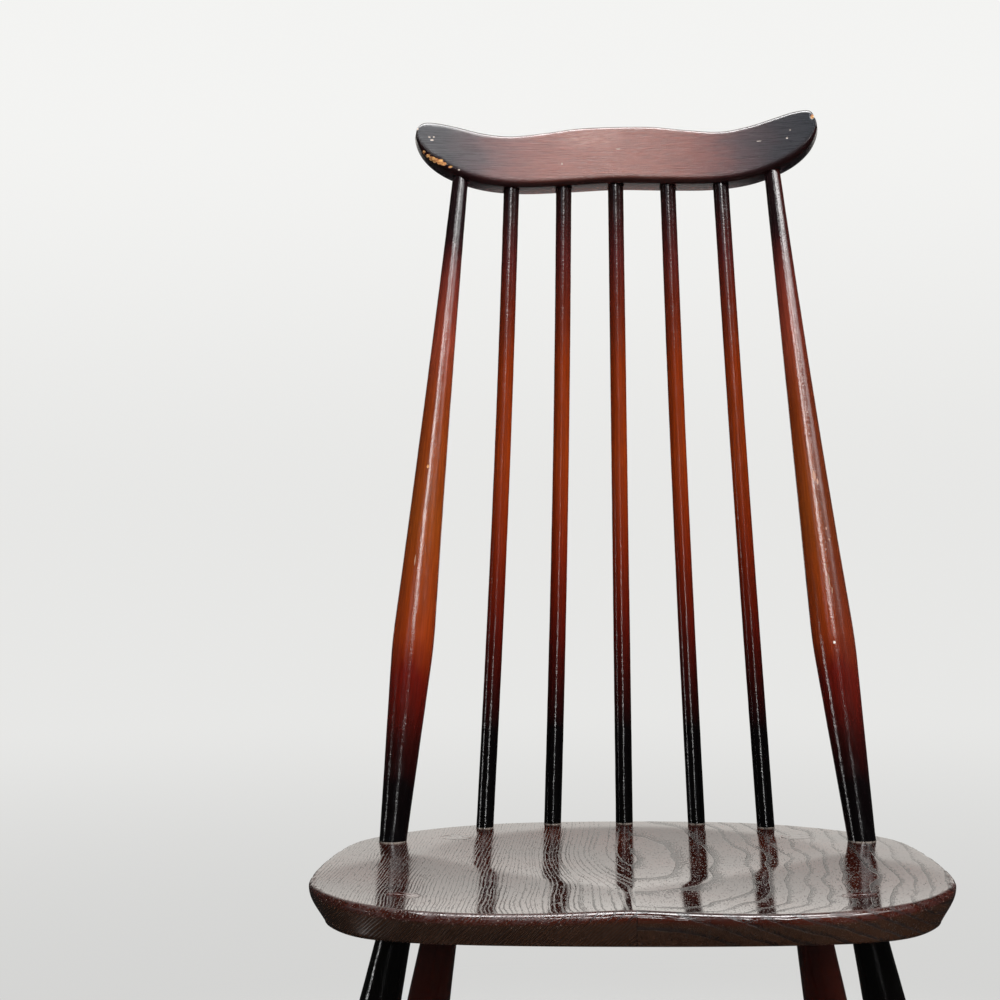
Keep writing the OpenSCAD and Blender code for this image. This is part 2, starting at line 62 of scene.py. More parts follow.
SEAT_H, SEAT_W, SEAT_D, SEAT_T = 425.0, 432.0, 388.0, 22.5
SEAT_TILT = radians(2)
SEAT_ARRIS, UNDER_R = 3.0, 2.0
SEAM_X = 3.0
THIGH_X, THIGH_Y, THIGH_DEPTH, THIGH_R = 84.0, 105.0, 7.5, 1100.0
BOWL_Y, BOWL_DEPTH, BOWL_R = 205.0, 8.6, 1300.0

LEG_PLACES = {    # place on the seat top, splay sideways and forward in degrees
    "front": ((147.0, 84.0), (11.8, -8.0)),
    "rear": ((130.0, 300.0), (10.6, 12.0)),
}
LEG_TENON_D, LEG_KNEE_D, LEG_FOOT_D, LEG_KNEE_AT = 22.0, 36.0, 23.0, 165.0
LEG_SOCKET, SIDE_SOCKET = 14.0, 11.0
STRETCHER_H, STRETCHER_DROP = 178.0, 10.0
STRETCHER_END_D, STRETCHER_MID_D, CROSS_TENON_D = 15.0, 24.0, 13.0

POST_SEAT, POST_CREST = (177.0, 279.0), (130.8, 6.0)
POST_FOOT_D, POST_KNEE_D, POST_TOP_D, POST_KNEE_AT, POST_HOLLOW = 21.0, 33.0, 13.6, 154.0, 1.4
SPINDLE_SEAT = ((0.0, 375.0), (58.0, 372.0), (111.5, 350.0))
SPINDLE_CREST_X = (0.0, 44.1, 88.2)
SPINDLE_FOOT_D, SPINDLE_TOP_D, SPINDLE_SOCKET = 13.8, 13.4, 14.0

CREST_RISE, CREST_W, CREST_BOW = 522.4, 334.0, 26.0
CREST_T, CREST_TIP_T, CREST_LOW_R, CREST_TOP_R = 24.5, 20.0, 5.0, 3.5
CREST_LEAN, BACK_LEAN = radians(12), radians(11.1)
CREST_SOCKET = 24.0
STRAIGHT, KNEE_ROUND, END_GAP = 5.0, 16.0, 1.0
SOCKET_GAP = 0.06    # how much wider a socket is than its tenon
TENON_PROUD = 0.03
WEDGE_T, WEDGE_TIP_T, WEDGE_L = 3.2, 1.0, 15.0
WEDGE_GAP = 0.05
BEYOND = 20.0    # how far cutters and profiles run on past the end of a piece

SEAT_HALF = [[0, 0], [0.28, 0.003], [0.49, 0.013], [0.66, 0.037], [0.805, 0.087], [0.916, 0.163],
             [0.981, 0.25], [1, 0.35], [0.999, 0.48], [0.984, 0.606], [0.949, 0.719], [0.874, 0.8],
             [0.738, 0.882], [0.561, 0.947], [0.355, 0.985], [0, 1]]
CREST_LOWER = [[0, 0], [0.225, -1.6], [0.45, -3.3], [0.615, -2], [0.745, 2.6], [0.86, 10.5],
               [0.94, 20.9], [0.986, 33.2], [1, 46]]
CREST_UPPER = {
    LEFT: [[0, 49.8], [0.19, 48.9], [0.367, 44.8], [0.533, 41.9], [0.675, 44], [0.805, 49],
           [0.905, 52.1], [0.972, 51.9], [1, 46]],
    RIGHT: [[0, 49.8], [0.19, 48.9], [0.367, 44.8], [0.533, 41.9], [0.675, 45], [0.805, 50.8],
            [0.905, 55.2], [0.978, 55], [1, 46]],
}

# Overall depth: from the seat's front edge to the back of the crest rail's top edge, about the middle.
CREST_Z = SEAT_H + CREST_RISE
SPINDLE_FOOT_Z = SEAT_H - SPINDLE_SEAT[0][1] * sin(SEAT_TILT)
CREST_FRONT = (SPINDLE_SEAT[0][1] * cos(SEAT_TILT)
               + (CREST_Z - SPINDLE_FOOT_Z) * tan(BACK_LEAN) - CREST_T / 2 * cos(CREST_LEAN))
DEPTH = CREST_FRONT + CREST_UPPER[LEFT][0][1] * tan(CREST_LEAN) + CREST_T * cos(CREST_LEAN)
FRONT_Y = -DEPTH / 2
CREST_Y = FRONT_Y + CREST_FRONT


# ---- curves and surfaces ----

def unit(values):
    return np.clip(values, 0, 1)


def catmull(a, b, c, d, s):
    """A point on the smooth curve from b to c, with a and d as their outer neighbours."""
    return 0.5 * (2 * b + (c - a) * s + (2 * a - 5 * b + 4 * c - d) * s**2
                  + (3 * b - 3 * c + d - a) * s**3)


def on_curve(points, after, stations):
    """Points at stations 0 to 1 of the smooth curve through points, which starts on a mirror plane."""
    p = np.array(points, float)
    before = [-p[1][0], p[1][1]]
    p = np.vstack([before, p, after])
    n = len(points) - 1
    at = unit(np.asarray(stations, float)) * n
    i = np.minimum(at.astype(int), n - 1)
    s = (at - i)[:, None]
    return catmull(p[i], p[i + 1], p[i + 2], p[i + 3], s)


def bend(a, b, c, steps=10):
    """Points of a bend from a to c that is steered by the corner b."""
    a, b, c = (np.array(q, float) for q in (a, b, c))
    return [(1 - s)**2 * a + 2 * s * (1 - s) * b + s * s * c for s in np.linspace(0, 1, steps + 1)]


def smooth_noise(u, v, seed):
    """Smooth noise between about -1 and 1 over two arrays, periodic in u over 2 pi."""
    rng = np.random.default_rng(seed)
    total = 0
    for wave in range(1, 6):
        turns = rng.integers(0, 4)
        freq, phase = rng.uniform(0.4, 2.2, 1), rng.uniform(0, 2 * pi, 2)
        across = np.sin(turns * u + phase[0] + freq * v * wave * 0.6)
        total = total + across * np.cos(v * freq + phase[1])
    return total / 2.5


def seat_depth(x, y):
    """How far the dished top lies under the seat's top plane."""
    thigh = THIGH_DEPTH - ((np.abs(x) - THIGH_X)**2 + (y - THIGH_Y)**2) / 2 / THIGH_R
    bowl = BOWL_DEPTH - (x * x + (y - BOWL_Y)**2) / 2 / BOWL_R
    soft = 0.35    # millimetres over which the hollows blend into each other
    return soft * np.log(1 + np.exp(thigh / soft) + np.exp(bowl / soft))


def seat_point(x, y, z=0.0):
    """Seat coordinates to the frame's: x sideways, y back from the front edge, z over the top plane."""
    x, y, z = np.broadcast_arrays(x, y, z)
    c, s = cos(SEAT_TILT), sin(SEAT_TILT)
    return np.stack([x, FRONT_Y + y * c + z * s, SEAT_H - y * s + z * c], -1)


def seat_coords(p):
    """The frame's coordinates to the seat's."""
    c, s = cos(SEAT_TILT), sin(SEAT_TILT)
    y, z = p[..., 1] - FRONT_Y, p[..., 2] - SEAT_H
    return np.stack([p[..., 0], y * c - z * s, y * s + z * c], -1)


def crest_point(x, h, t):
    """A point of the crest rail: x sideways, h above its lower edge, t back from its front face."""
    x, h, t = np.broadcast_arrays(np.asarray(x, float), h, t)
    slope = -2 * CREST_BOW * x / (CREST_W / 2)**2
    n = np.sqrt(1 + slope**2)
    return np.stack([
        x - t * cos(CREST_LEAN) * slope / n,
        CREST_Y - CREST_BOW * (2 * x / CREST_W)**2 + h * tan(CREST_LEAN)
        + t * cos(CREST_LEAN) / n,
        CREST_Z + h - t * sin(CREST_LEAN)], -1)


def crest_thickness(x):
    return CREST_T - (CREST_T - CREST_TIP_T) * (2 * x / CREST_W)**2


def span(a, b):
    return np.linalg.norm(b - a)


def towards(a, b, l):
    return a + (b - a) * l / span(a, b)


def at_height(a, b, z):
    return a + (b - a) * (z - a[2]) / (b[2] - a[2])


def circle(steps):
    """Angles of evenly spaced points round a circle."""
    return np.linspace(0, 2 * pi, steps, endpoint=False)


# ---- meshes ----

def placed(name, data):
    """A new object in the scene."""
    made = bpy.data.objects.new(name, data)
    bpy.context.scene.collection.objects.link(made)
    return made


def make_piece(name, points, faces, local, extra=None, sharp=35):
    """A mesh piece from points in millimetres. local holds each point's place in the piece's own
    axes, which the materials read, and extra holds more named numbers for each point."""
    mesh = bpy.data.meshes.new(name)
    mesh.from_pydata((np.asarray(points) * MM).tolist(), [], faces)
    mesh.validate()
    corners = np.empty(len(mesh.loops), np.int32)
    mesh.loops.foreach_get("vertex_index", corners)
    attribute = mesh.attributes.new("local", "FLOAT_VECTOR", "CORNER")
    attribute.data.foreach_set("vector", np.asarray(local, np.float32)[corners].ravel())
    for key, values in (extra or {}).items():
        attribute = mesh.attributes.new(key, "FLOAT", "CORNER")
        attribute.data.foreach_set("value", np.asarray(values, np.float32)[corners])
    mesh.polygons.foreach_set("use_smooth", [True] * len(mesh.polygons))
    mesh.set_sharp_from_angle(angle=radians(sharp))
    return placed(name, mesh)


def tube_faces(rows, around):
    """Faces of a closed tube of rows of points, with a middle point after the rows at each end."""
    faces = []
    for i in range(0, (rows - 1) * around, around):
        for j in range(around):
            k = (j + 1) % around
            faces.append((i + j, i + k, i + around + k, i + around + j))
    first, last = rows * around, rows * around + 1
    for j in range(around):
        k = (j + 1) % around
        faces.append((first, k, j))
        faces.append((last, (rows - 1) * around + j, (rows - 1) * around + k))
    return faces


def carve(piece, cutters):
    """Cuts the cutters' shapes out of the piece and removes them."""
    for cutter in cutters:
        change = piece.modifiers.new("cut", "BOOLEAN")
        change.operation = "DIFFERENCE"
        change.solver = "EXACT"
        change.object = cutter
    graph = bpy.context.evaluated_depsgraph_get()
    mesh = bpy.data.meshes.new_from_object(piece.evaluated_get(graph))
    piece.modifiers.clear()
    piece.data = mesh
    for cutter in cutters:
        bpy.data.objects.remove(cutter)


def drill(a, b, tenon_d, sides=48):
    """A cutter for a tenon's round socket from a to b."""
    axis = (b - a) / span(a, b)
    e1 = np.cross(axis, [0.3, 1, 0.2])
    e1 /= np.linalg.norm(e1)
    e2 = np.cross(axis, e1)
    turn = circle(sides)
    ring = (np.outer(np.cos(turn), e1) + np.outer(np.sin(turn), e2)) * (tenon_d + SOCKET_GAP) / 2
    points = np.vstack([a + ring, b + ring, [a], [b]])
    return make_piece("drill", points, tube_faces(2, sides), np.zeros_like(points))


def finish_piece(piece, node, material):
    piece.data.materials.clear()
    piece.data.materials.append(material)
    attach(piece, "root")
    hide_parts(node)


# ---- turned pieces ----

AROUND = 56
RING_STEP = 3.0    # distance of the rings along a piece
CAP_SHARES = (0.25, 0.6, 0.85)    # radii of the rings on an end face, as shares of its radius
CLOSE_RINGS = [0, 0.0005, 0.001, 0.002]    # closer rings at each end, as shares of the length
CUT_STEPS = 4    # steps to find where each side of a piece meets its cut
UNEVEN, FINE_UNEVEN = 0.05, 0.02    # unevenness of the turned surface


def turned_piece(name, start, end, profile, seed, low_cut=None, high_cut=None, bow=(0, 0, 0),
                 origin=0.0, edge=0.5):
    """A turned piece along the axis from start to end. profile holds (distance, radius) pairs. A cut
    is a function that gives how far a point lies past the surface where that end is cut. bow is how
    far the middle bends off the axis, edge the rounding of the ends, and origin the distance along
    the axis that counts as 0 in the material."""
    length = span(start, end)
    axis = (end - start) / length
    e1 = np.cross([0, 1, 0], axis)
    e1 /= np.linalg.norm(e1)
    e2 = np.cross(axis, e1)
    at, radius = np.array(profile, float).T
    turn = circle(AROUND)
    bow = np.array(bow, float)

    def place(s, r):
        side = np.cos(turn)[:, None] * e1 + np.sin(turn)[:, None] * e2
        arch = np.sin(pi * unit(s / length))[:, None] * bow
        return start + s[:, None] * axis + r[:, None] * side + arch

    def end_of(cut, s, r):
        """Where along the axis each side of the piece meets the cut."""
        s = np.full(AROUND, float(s))
        for _ in range(CUT_STEPS if cut else 0):
            s = s - cut(place(s, np.full(AROUND, r))) * (1 if cut is high_cut else -1)
        return s

    r_low, r_high = np.interp([0, length], at, radius)
    low, high = end_of(low_cut, 0, r_low), end_of(high_cut, length, r_high)
    steps = int(length / RING_STEP)
    shares = np.concatenate([CLOSE_RINGS, np.linspace(0.005, 0.995, steps),
                             [1 - share for share in reversed(CLOSE_RINGS)]])
    rows, local = [], []

    def add(s, r):
        rows.append(place(s, r))
        local.append(np.stack([r * np.cos(turn), r * np.sin(turn), s - origin], -1))

    def add_cap(cut, s, r, shares):
        for share in shares:
            add(end_of(cut, s, r * share), np.full(AROUND, (r - edge) * share))

    add_cap(low_cut, 0, r_low, CAP_SHARES)
    for share in shares:
        s = low + (high - low) * share
        r = np.interp(s, at, radius)
        r = r + UNEVEN * smooth_noise(turn, s / 16, seed)
        r = r + FINE_UNEVEN * smooth_noise(turn * 2, s / 6, seed + 1)
        rim = unit(1 - np.minimum(s - low, high - s) / max(edge, 1e-6))
        add(s, r - edge * (1 - np.sqrt(1 - rim**2)))
    add_cap(high_cut, length, r_high, reversed(CAP_SHARES))
    ends = [place(end_of(cut, s, 0), np.zeros(AROUND))[0]
            for cut, s in ((low_cut, 0), (high_cut, length))]
    points = np.vstack(rows + [[e] for e in ends])
    points[:, 2] = np.maximum(points[:, 2], 0)
    coords = np.vstack(local + [[[0, 0, -origin]], [[0, 0, length - origin]]])
    return make_piece(name, points, tube_faces(len(rows), AROUND), coords,
                      {"above": past_seat_top(points)})


def past_seat_top(p):
    """How far a point lies over the seat's dished top."""
    q = seat_coords(p)
    return q[:, 2] + seat_depth(q[:, 0], q[:, 1])


def past_tenon_top(p):
    """The same for the top of a leg's tenon, which stands a little proud of the seat."""
    return past_seat_top(p) - TENON_PROUD


def past_seat_under(p):
    """How far a point lies under the seat."""
    return -SEAT_T - seat_coords(p)[:, 2]


def past_floor(p):
    return -p[:, 2]


# ---- materials ----

def colour(code):
    """A linear colour from an sRGB code."""
    parts = [int(code[i:i + 2], 16) / 255 for i in (1, 3, 5)]
    return [p / 12.92 if p <= 0.04045 else ((p + 0.055) / 1.055)**2.4 for p in parts] + [1]


class Nodes:
    """A node tree. Each method adds a node and returns its output."""

    def __init__(self, tree):
        self.tree = tree

    def put(self, socket, value):
        """Links an output to the socket, or sets a constant, which may be a colour code."""
        if isinstance(value, bpy.types.NodeSocket):
            self.tree.links.new(value, socket)
        else:
            socket.default_value = colour(value) if isinstance(value, str) else value

    def node(self, kind, inputs, **settings):
        made = self.tree.nodes.new("ShaderNode" + kind)
        for key, value in settings.items():
            setattr(made, key, value)
        for key, value in inputs.items():
            self.put(made.inputs[key], value)
        return made

    def math(self, operation, *values):
        return self.node("Math", dict(enumerate(values)), operation=operation).outputs[0]

    def chain(self, operation, values):
        total = values[0]
        for value in values[1:]:
            total = self.math(operation, total, value)
        return total

    def add(self, *values):
        return self.chain("ADD", values)

    def times(self, *values):
        return self.chain("MULTIPLY", values)

    def most(self, *values):
        return self.chain("MAXIMUM", values)

    def less(self, value, other):
        return self.math("SUBTRACT", value, other)

    def scaled(self, vector, factors, shift=(0, 0, 0)):
        inputs = {0: vector, 1: factors, 2: shift}
        return self.node("VectorMath", inputs, operation="MULTIPLY_ADD").outputs[0]

    def parts(self, vector):
        return self.node("SeparateXYZ", {0: vector}).outputs

    def together(self, x, y, z):
        return self.node("CombineXYZ", {0: x, 1: y, 2: z}).outputs[0]

    def length(self, vector):
        return self.node("VectorMath", {0: vector}, operation="LENGTH").outputs["Value"]

    def shaded(self, tone, factor):
        return self.node("VectorMath", {0: tone, 3: factor}, operation="SCALE").outputs[0]

    def noise(self, vector, factors, detail=2.0, roughness=0.5):
        """Noise between 0 and 1 over the vector times the factors."""
        inputs = {"Vector": self.scaled(vector, factors), "Scale": 1.0, "Detail": detail,
                  "Roughness": roughness}
        return self.node("TexNoise", inputs).outputs["Fac"]

    def ease(self, value, low, high, start=0.0, end=1.0):
        """Goes smoothly from start to end while value goes from low to high."""
        inputs = {"Value": value, "From Min": low, "From Max": high, "To Min": start, "To Max": end}
        return self.node("MapRange", inputs, interpolation_type="SMOOTHSTEP").outputs["Result"]

    def mix(self, share, a, b):
        made = self.tree.nodes.new("ShaderNodeMix")
        made.data_type = "RGBA"
        for key, value in (("Factor_Float", share), ("A_Color", a), ("B_Color", b)):
            self.put([s for s in made.inputs if s.identifier == key][0], value)
        return [s for s in made.outputs if s.identifier == "Result_Color"][0]

    def ramp(self, share, stops):
        made = self.node("ValToRGB", {"Fac": share})
        elements = made.color_ramp.elements
        while len(elements) < len(stops):
            elements.new(0.5)
        for element, (place, code) in zip(elements, stops.items()):
            element.position = place
            element.color = colour(code)
        return made.outputs["Color"]

    def attribute(self, name, output="Vector"):
        return self.node("Attribute", {}, attribute_name=name).outputs[output]

    def spots(self, local, places, warp=0.5, grain=0.8):
        """1 in small ragged spots at the given places, which are (centre, radii) pairs."""
        ragged = self.times(self.add(self.noise(local, (grain,) * 3, detail=3), -0.5), warp)
        total = 0.0
        for centre, radii in places:
            shift = [-c / r for c, r in zip(centre, radii)]
            near = self.scaled(local, [1 / r for r in radii], shift)
            spot = self.ease(self.add(self.length(near), ragged), 1.0, 0.75)
            total = self.most(total, spot)
        return total


class Finish(Nodes):
    """The nodes of a new material."""

    def __init__(self, name):
        self.material = bpy.data.materials.new(name)
        self.material.use_nodes = True
        super().__init__(self.material.node_tree)
        self.shader = self.tree.nodes["Principled BSDF"]

    def bump(self, height, distance):
        made = self.node("Bump", {"Height": height, "Distance": distance, "Strength": 1.0})
        self.put(self.shader.inputs["Normal"], made.outputs[0])

    def base(self, value):
        self.put(self.shader.inputs["Base Color"], value)

    def rough(self, value):
        self.put(self.shader.inputs["Roughness"], value)


def turned_finish(name, stops, length, marks=(), dusty=False, end_tone="#4a1d13", worn_side=0.0):
    """Stained and lacquered wood of a turned piece, shaded along its length, in millimetres."""
    f = Finish(name)
    local = f.attribute("local")
    x, _, z = f.parts(local)
    cloud = f.noise(local, (0.05, 0.05, 0.02), detail=3)
    along = f.add(z, f.times(f.less(cloud, 0.5), 44.0))
    stain = f.ramp(f.math("DIVIDE", along, length), stops)
    streak = f.noise(local, (0.8, 0.8, 0.014), detail=4, roughness=0.6)
    fine = f.noise(local, (2.6, 2.6, 0.08))
    shade = f.ease(f.add(f.times(streak, 0.8), f.times(fine, 0.3)), 0.38, 0.72, 0.74, 1.16)
    tone = f.shaded(stain, shade)
    if worn_side:
        smoked = f.times(f.ease(x, -1.0, 4.0), f.ease(z, 60.0, 180.0), worn_side)
        tone = f.mix(smoked, tone, "#3c1611")
    above = f.attribute("above", "Fac")
    if dusty:
        patchy = f.ease(f.noise(local, (0.35, 0.35, 0.35), detail=3), 0.32, 0.62, 0.25, 1.0)
        line = f.times(f.ease(above, 1.0, 0.6), f.ease(above, -0.5, 0.0), patchy)
        tone = f.mix(f.times(line, 0.55), tone, "#b3a79c")
    else:
        rings = f.ease(f.noise(local, (0.9, 0.9, 0.9), detail=3), 0.35, 0.65, 0.6, 1.25)
        tone = f.mix(f.ease(above, -0.3, 0.1), tone, f.shaded(colour(end_tone)[:3], rings))
    worn = 0.0
    for code, places in marks:
        bare = f.spots(local, places)
        tone = f.mix(bare, tone, code)
        worn = f.most(worn, bare)
    f.base(tone)
    lump = f.noise(local, (0.14, 0.14, 0.07))
    pimple = f.noise(local, (1.0, 1.0, 0.75), detail=1)
    chatter = f.noise(local, (0.22, 0.22, 0.85))
    matt = f.noise(local, (0.3, 0.3, 0.06), detail=3)
    gloss = f.ease(matt, 0.3, 0.75, 0.11, 0.19)
    if not dusty:
        gloss = f.times(gloss, f.ease(above, -0.3, 0.1, 1.0, 0.55))
    f.rough(f.add(gloss, f.times(worn, 0.5)))
    relief = f.add(lump, f.times(pimple, 0.5), f.times(chatter, 0.4), f.times(streak, 0.08))
    f.bump(f.add(relief, f.times(worn, -1.5)), 0.00018)
    return f.material


def seat_finish(name, side):
    """Dark lacquered elm with open pores in its growth rings."""
    f = Finish(name)
    local = f.attribute("local")
    x, y, z = f.parts(local)
    wave = f.times(f.less(f.noise(local, (0.022, 0.010, 0.02)), 0.5), 9.0)
    if side == LEFT:
        sweep = f.times(f.ease(y, 110.0, 290.0), 42.0,
                        f.math("EXPONENT", f.times(f.times(x, x), -1 / 55.0**2)))
        across = f.add(x, sweep, f.times(z, -1.0), wave)
        # A ring is narrow + wider * e^(across / 45) millimetres wide.
        narrow, wider, k = 2.3, 4.2, 1 / 45.0
        growth = f.add(f.times(f.math("EXPONENT", f.times(across, k)), wider), narrow)
        phase = f.less(f.times(across, 1 / narrow),
                       f.times(f.math("LOGARITHM", growth, EULER), 1 / (narrow * k)))
        uneven = f.times(f.noise(f.together(across, 0.0, 0.0), (0.09, 0.0, 0.0)), 2.4)
    else:
        wave = f.times(wave, 0.8)
        dx = f.add(x, 8.0, wave)
        dy = f.times(f.add(y, -250.0), 1 / 2.4)
        radius = f.math("SQRT", f.add(f.times(dx, dx), f.times(dy, dy)))
        slow = f.less(f.noise(local, (0.016, 0.011, 0.02), detail=1), 0.5)
        quick = f.less(f.noise(local, (0.09, 0.045, 0.05)), 0.5)
        radius = f.add(radius, f.times(slow, 34.0), f.times(quick, 3.0), f.times(z, 1.8))
        beyond = f.most(f.add(radius, -88.0), 0.0)
        phase = f.add(f.times(radius, 1 / 29.0), f.times(beyond, 1 / 26.0))
        uneven = 0.0
    ring = f.math("FRACT", f.add(phase, uneven))
    strength = f.ease(f.noise(local, (0.05, 0.012, 0.05), detail=3), 0.3, 0.65, 0.5, 1.0)
    pores = f.noise(local, (1.25, 0.10, 1.25), roughness=0.6)
    fine = f.noise(local, (2.6, 0.22, 2.6), detail=1)
    below = f.attribute("flank", "Fac")    # 1 on the sides and the underside
    if side == LEFT:
        line = f.times(f.ease(ring, 0.44, 0.02), f.ease(ring, 0.0, 0.03))
        band = f.times(line, strength)
        dark = f.ease(f.add(pores, f.times(band, 0.24)), 0.60, 0.74, 0.0, 0.9)
        dark = f.most(dark, f.times(band, f.ease(fine, 0.35, 0.6, 0.3, 0.9)))
        face = f.math("FRACT", f.add(f.times(f.add(x, f.times(z, -1.0), wave), 1 / 2.7), uneven))
        dense = f.times(f.ease(face, 0.5, 0.02), f.ease(face, 0.0, 0.05), strength, 0.8)
        dark = f.add(f.times(dark, f.less(1.0, below)), f.times(dense, below))
    else:
        speck = f.noise(local, (1.2, 0.2, 1.2), detail=1, roughness=0.5)
        core = f.times(f.ease(ring, 0.10, 0.03), f.ease(ring, 0.0, 0.02))
        line = f.times(f.ease(ring, 0.45, 0.04), f.ease(ring, 0.0, 0.03))
        dark = f.ease(f.add(speck, f.times(line, strength, 0.3)), 0.62, 0.7, 0.0, 0.8)
        broken = f.ease(speck, 0.3, 0.5, 0.6, 1.0)
        dark = f.most(dark, f.times(core, strength, broken))
    edge = f.attribute("edge", "Fac")
    cloud = f.noise(local, (0.012, 0.012, 0.02), detail=3)
    wood = f.mix(f.ease(cloud, 0.35, 0.65), "#2a0f0a", "#3c170e")
    wood = f.mix(below, wood, f.mix(f.ease(cloud, 0.3, 0.7), "#21130b", "#301c10"))
    wood = f.mix(dark, wood, "#0c0605")
    rub = f.noise(local, (0.10, 0.10, 0.3), detail=4, roughness=0.65)
    outer = f.ease(x, -5.0, -45.0) if side == LEFT else f.ease(x, 95.0, 140.0)
    where = f.times(outer, f.ease(y, 200.0, 120.0))
    rubbed = f.times(f.ease(edge, 0.55, 1.0), f.ease(rub, 0.38, 0.6), where)
    wood = f.mix(f.times(rubbed, 0.6), wood, "#3c150f")
    # Pale specks along the worn arris: nicks in the finish, and painted glints.
    nick = f.noise(local, (0.9, 0.6, 0.9), detail=3, roughness=0.7)
    nicks_and_glints = f.times(edge, where, f.ease(nick, 0.64, 0.69))
    wood = f.mix(nicks_and_glints, wood, "#c4afa2")
    seam = f.math("ABSOLUTE", f.add(x, -SEAM_X))
    wood = f.mix(f.ease(seam, 0.15, 0.55, 0.75, 0.0), wood, "#0a0505")
    f.base(wood)
    gloss = f.ease(cloud, 0.3, 0.7, 0.05, 0.09)
    worn = f.times(f.add(rubbed, nicks_and_glints), 0.3)
    f.rough(f.add(gloss, f.times(dark, 0.25), worn, f.times(below, 0.18)))
    f.bump(f.add(f.times(dark, -1.0), f.times(fine, 0.1), f.times(nicks_and_glints, -1.0)), 0.00014)
    return f.material


def crest_finish(name):
    """Reddish stain, toned dark towards the tips with a painted bluish reflection there, and fine grain
    along the rail.
    """
    f = Finish(name)
    local = f.attribute("local")
    x = f.parts(local)[0]
    cloud = f.noise(local, (0.02, 0.05, 0.05), detail=4, roughness=0.6)
    drift = f.times(f.less(cloud, 0.5), 46.0)
    away = f.math("ABSOLUTE", f.add(x, drift, 4.0))
    face = f.ramp(f.math("DIVIDE", away, 170.0), CREST_STAIN_AND_SHEEN_STOPS)
    grain = f.noise(local, (0.03, 0.9, 0.9), detail=5, roughness=0.7)
    fine = f.noise(local, (0.10, 3.0, 3.0), detail=3)
    shade = f.ease(f.add(f.times(grain, 0.8), f.times(fine, 0.3)), 0.4, 0.72, 0.7, 1.25)
    tone = f.shaded(face, shade)
    low, rim = f.attribute("edge", "Fac"), f.attribute("rim", "Fac")
    # Painted shade: a red-black band along the lower front arris and a darker line along the top arrises.
    tone = f.mix(f.times(low, 0.95), tone, "#1c0303")
    tone = f.mix(f.times(rim, 0.85), tone, "#1c0d0b")
    # Painted sheen: pale streaks over a patch left of the middle, high on the face, where the lacquer is
    # also less rough.
    away = f.length(f.scaled(local, (1 / 26, 1 / 9, 0.0), (24 / 26, -38 / 9, 0.0)))
    sheen_patch = f.ease(f.add(away, f.times(grain, 1.2)), 1.9, 0.6)
    painted_sheen = f.times(sheen_patch, f.ease(fine, 0.45, 0.6), 0.6)
    tone = f.mix(painted_sheen, tone, "#b08c80")
    chips = f.spots(local, CREST_CHIPS, warp=1.3, grain=0.5)
    light = f.noise(local, (0.4, 0.9, 0.9), detail=3)
    raw = f.mix(f.ease(light, 0.4, 0.6), "#a8602a", "#d8a35c")
    tone = f.mix(chips, tone, raw)
    specks = f.spots(local, CREST_SPECKS, warp=0.9)
    tone = f.mix(f.times(specks, 0.9), tone, "#cdbcb0")
    f.base(tone)
    worn = f.most(chips, specks)
    edges = f.most(low, rim)
    matt = f.less(f.ease(grain, 0.35, 0.7, 0.24, 0.36), f.times(sheen_patch, 0.12))
    f.rough(f.add(f.times(matt, f.add(1.0, f.times(edges, -0.5))), f.times(worn, 0.4)))
    f.shader.inputs["Coat Weight"].default_value = 0.35
    f.shader.inputs["Coat Roughness"].default_value = 0.42
    plain = f.ease(f.math("ABSOLUTE", x), 90.0, 140.0, 1.0, 0.35)
    brushed = f.times(fine, f.add(0.2, f.times(sheen_patch, 0.5)))
    f.bump(f.add(f.times(grain, plain, 0.8), brushed, f.times(worn, -1.5)), 0.00025)
    return f.material


# Marks on the lacquer, as (centre, radii) in the piece's own millimetres.
CREST_CHIPS = [
    ((-163.2, 25.2, 1.2), (1.6, 1.8, 4)), ((-160.6, 22.4, 1.2), (3.0, 1.5, 4)),
    ((-156.4, 20.0, 1.2), (3.0, 1.7, 4)), ((-152.8, 18.4, 1.2), (2.6, 2.0, 4)),
    ((-149.8, 17.2, 1.0), (3.0, 2.6, 4)), ((-146.4, 15.2, 1.0), (2.4, 1.5, 4)),
    ((-140.8, 12.4, 1.0), (1.8, 0.9, 4)), ((166.6, 48.4, 1.0), (1.8, 2.6, 3))]
CREST_SPECKS = [
    ((-133.7, 9.9, 0), (1.0, 0.8, 2)), ((-168.7, 45.1, 0), (0.9, 1.4, 2)),
    ((-156.6, 35.6, 0), (1.6, 0.8, 2)), ((-155.0, 38.4, 0), (0.9, 0.7, 2)),
    ((-158.6, 38.2, 0), (1.1, 0.6, 2)), ((-45.9, 15.7, 0), (0.5, 1.3, 2)),
    ((2.4, 28.5, 0), (2.4, 0.4, 2)), ((148.0, 37.8, 0), (0.7, 0.6, 2)),
    ((145.3, 31.0, 0), (1.1, 0.6, 2)), ((122.1, 30.0, 0), (2.2, 0.4, 2))]
POST_MARKS = {
    LEFT: [("#c98a4a", [((-1.3, -12.8, 300.0), (1.1, 3.0, 1.7))]),
           ("#a07a5c", [((-3.8, -14.4, 220.0), (0.5, 2.0, 5.0))])],
    RIGHT: [("#d9d2ca", [((-1.5, -16.3, 150.2), (1.1, 2.5, 1.3))]),
            ("#a87b66", [((0.8, -13.4, 288.0), (1.6, 3.0, 5.0)), ((3.0, -13.2, 283.0), (1.0, 3.0, 3.0)),
                         ((4.6, -13.6, 243.0), (0.6, 2.0, 1.5)),
                         ((5.8, -13.4, 234.0), (0.6, 2.0, 1.2))]),
            ("#8f6a50", [((1.2, -15.3, 200.0), (0.5, 2.0, 7.0)), ((0.2, -15.1, 212.0), (0.4, 2.0, 4.0)),
                         ((2.4, -15.2, 192.0), (0.4, 2.0, 3.0))])],
}

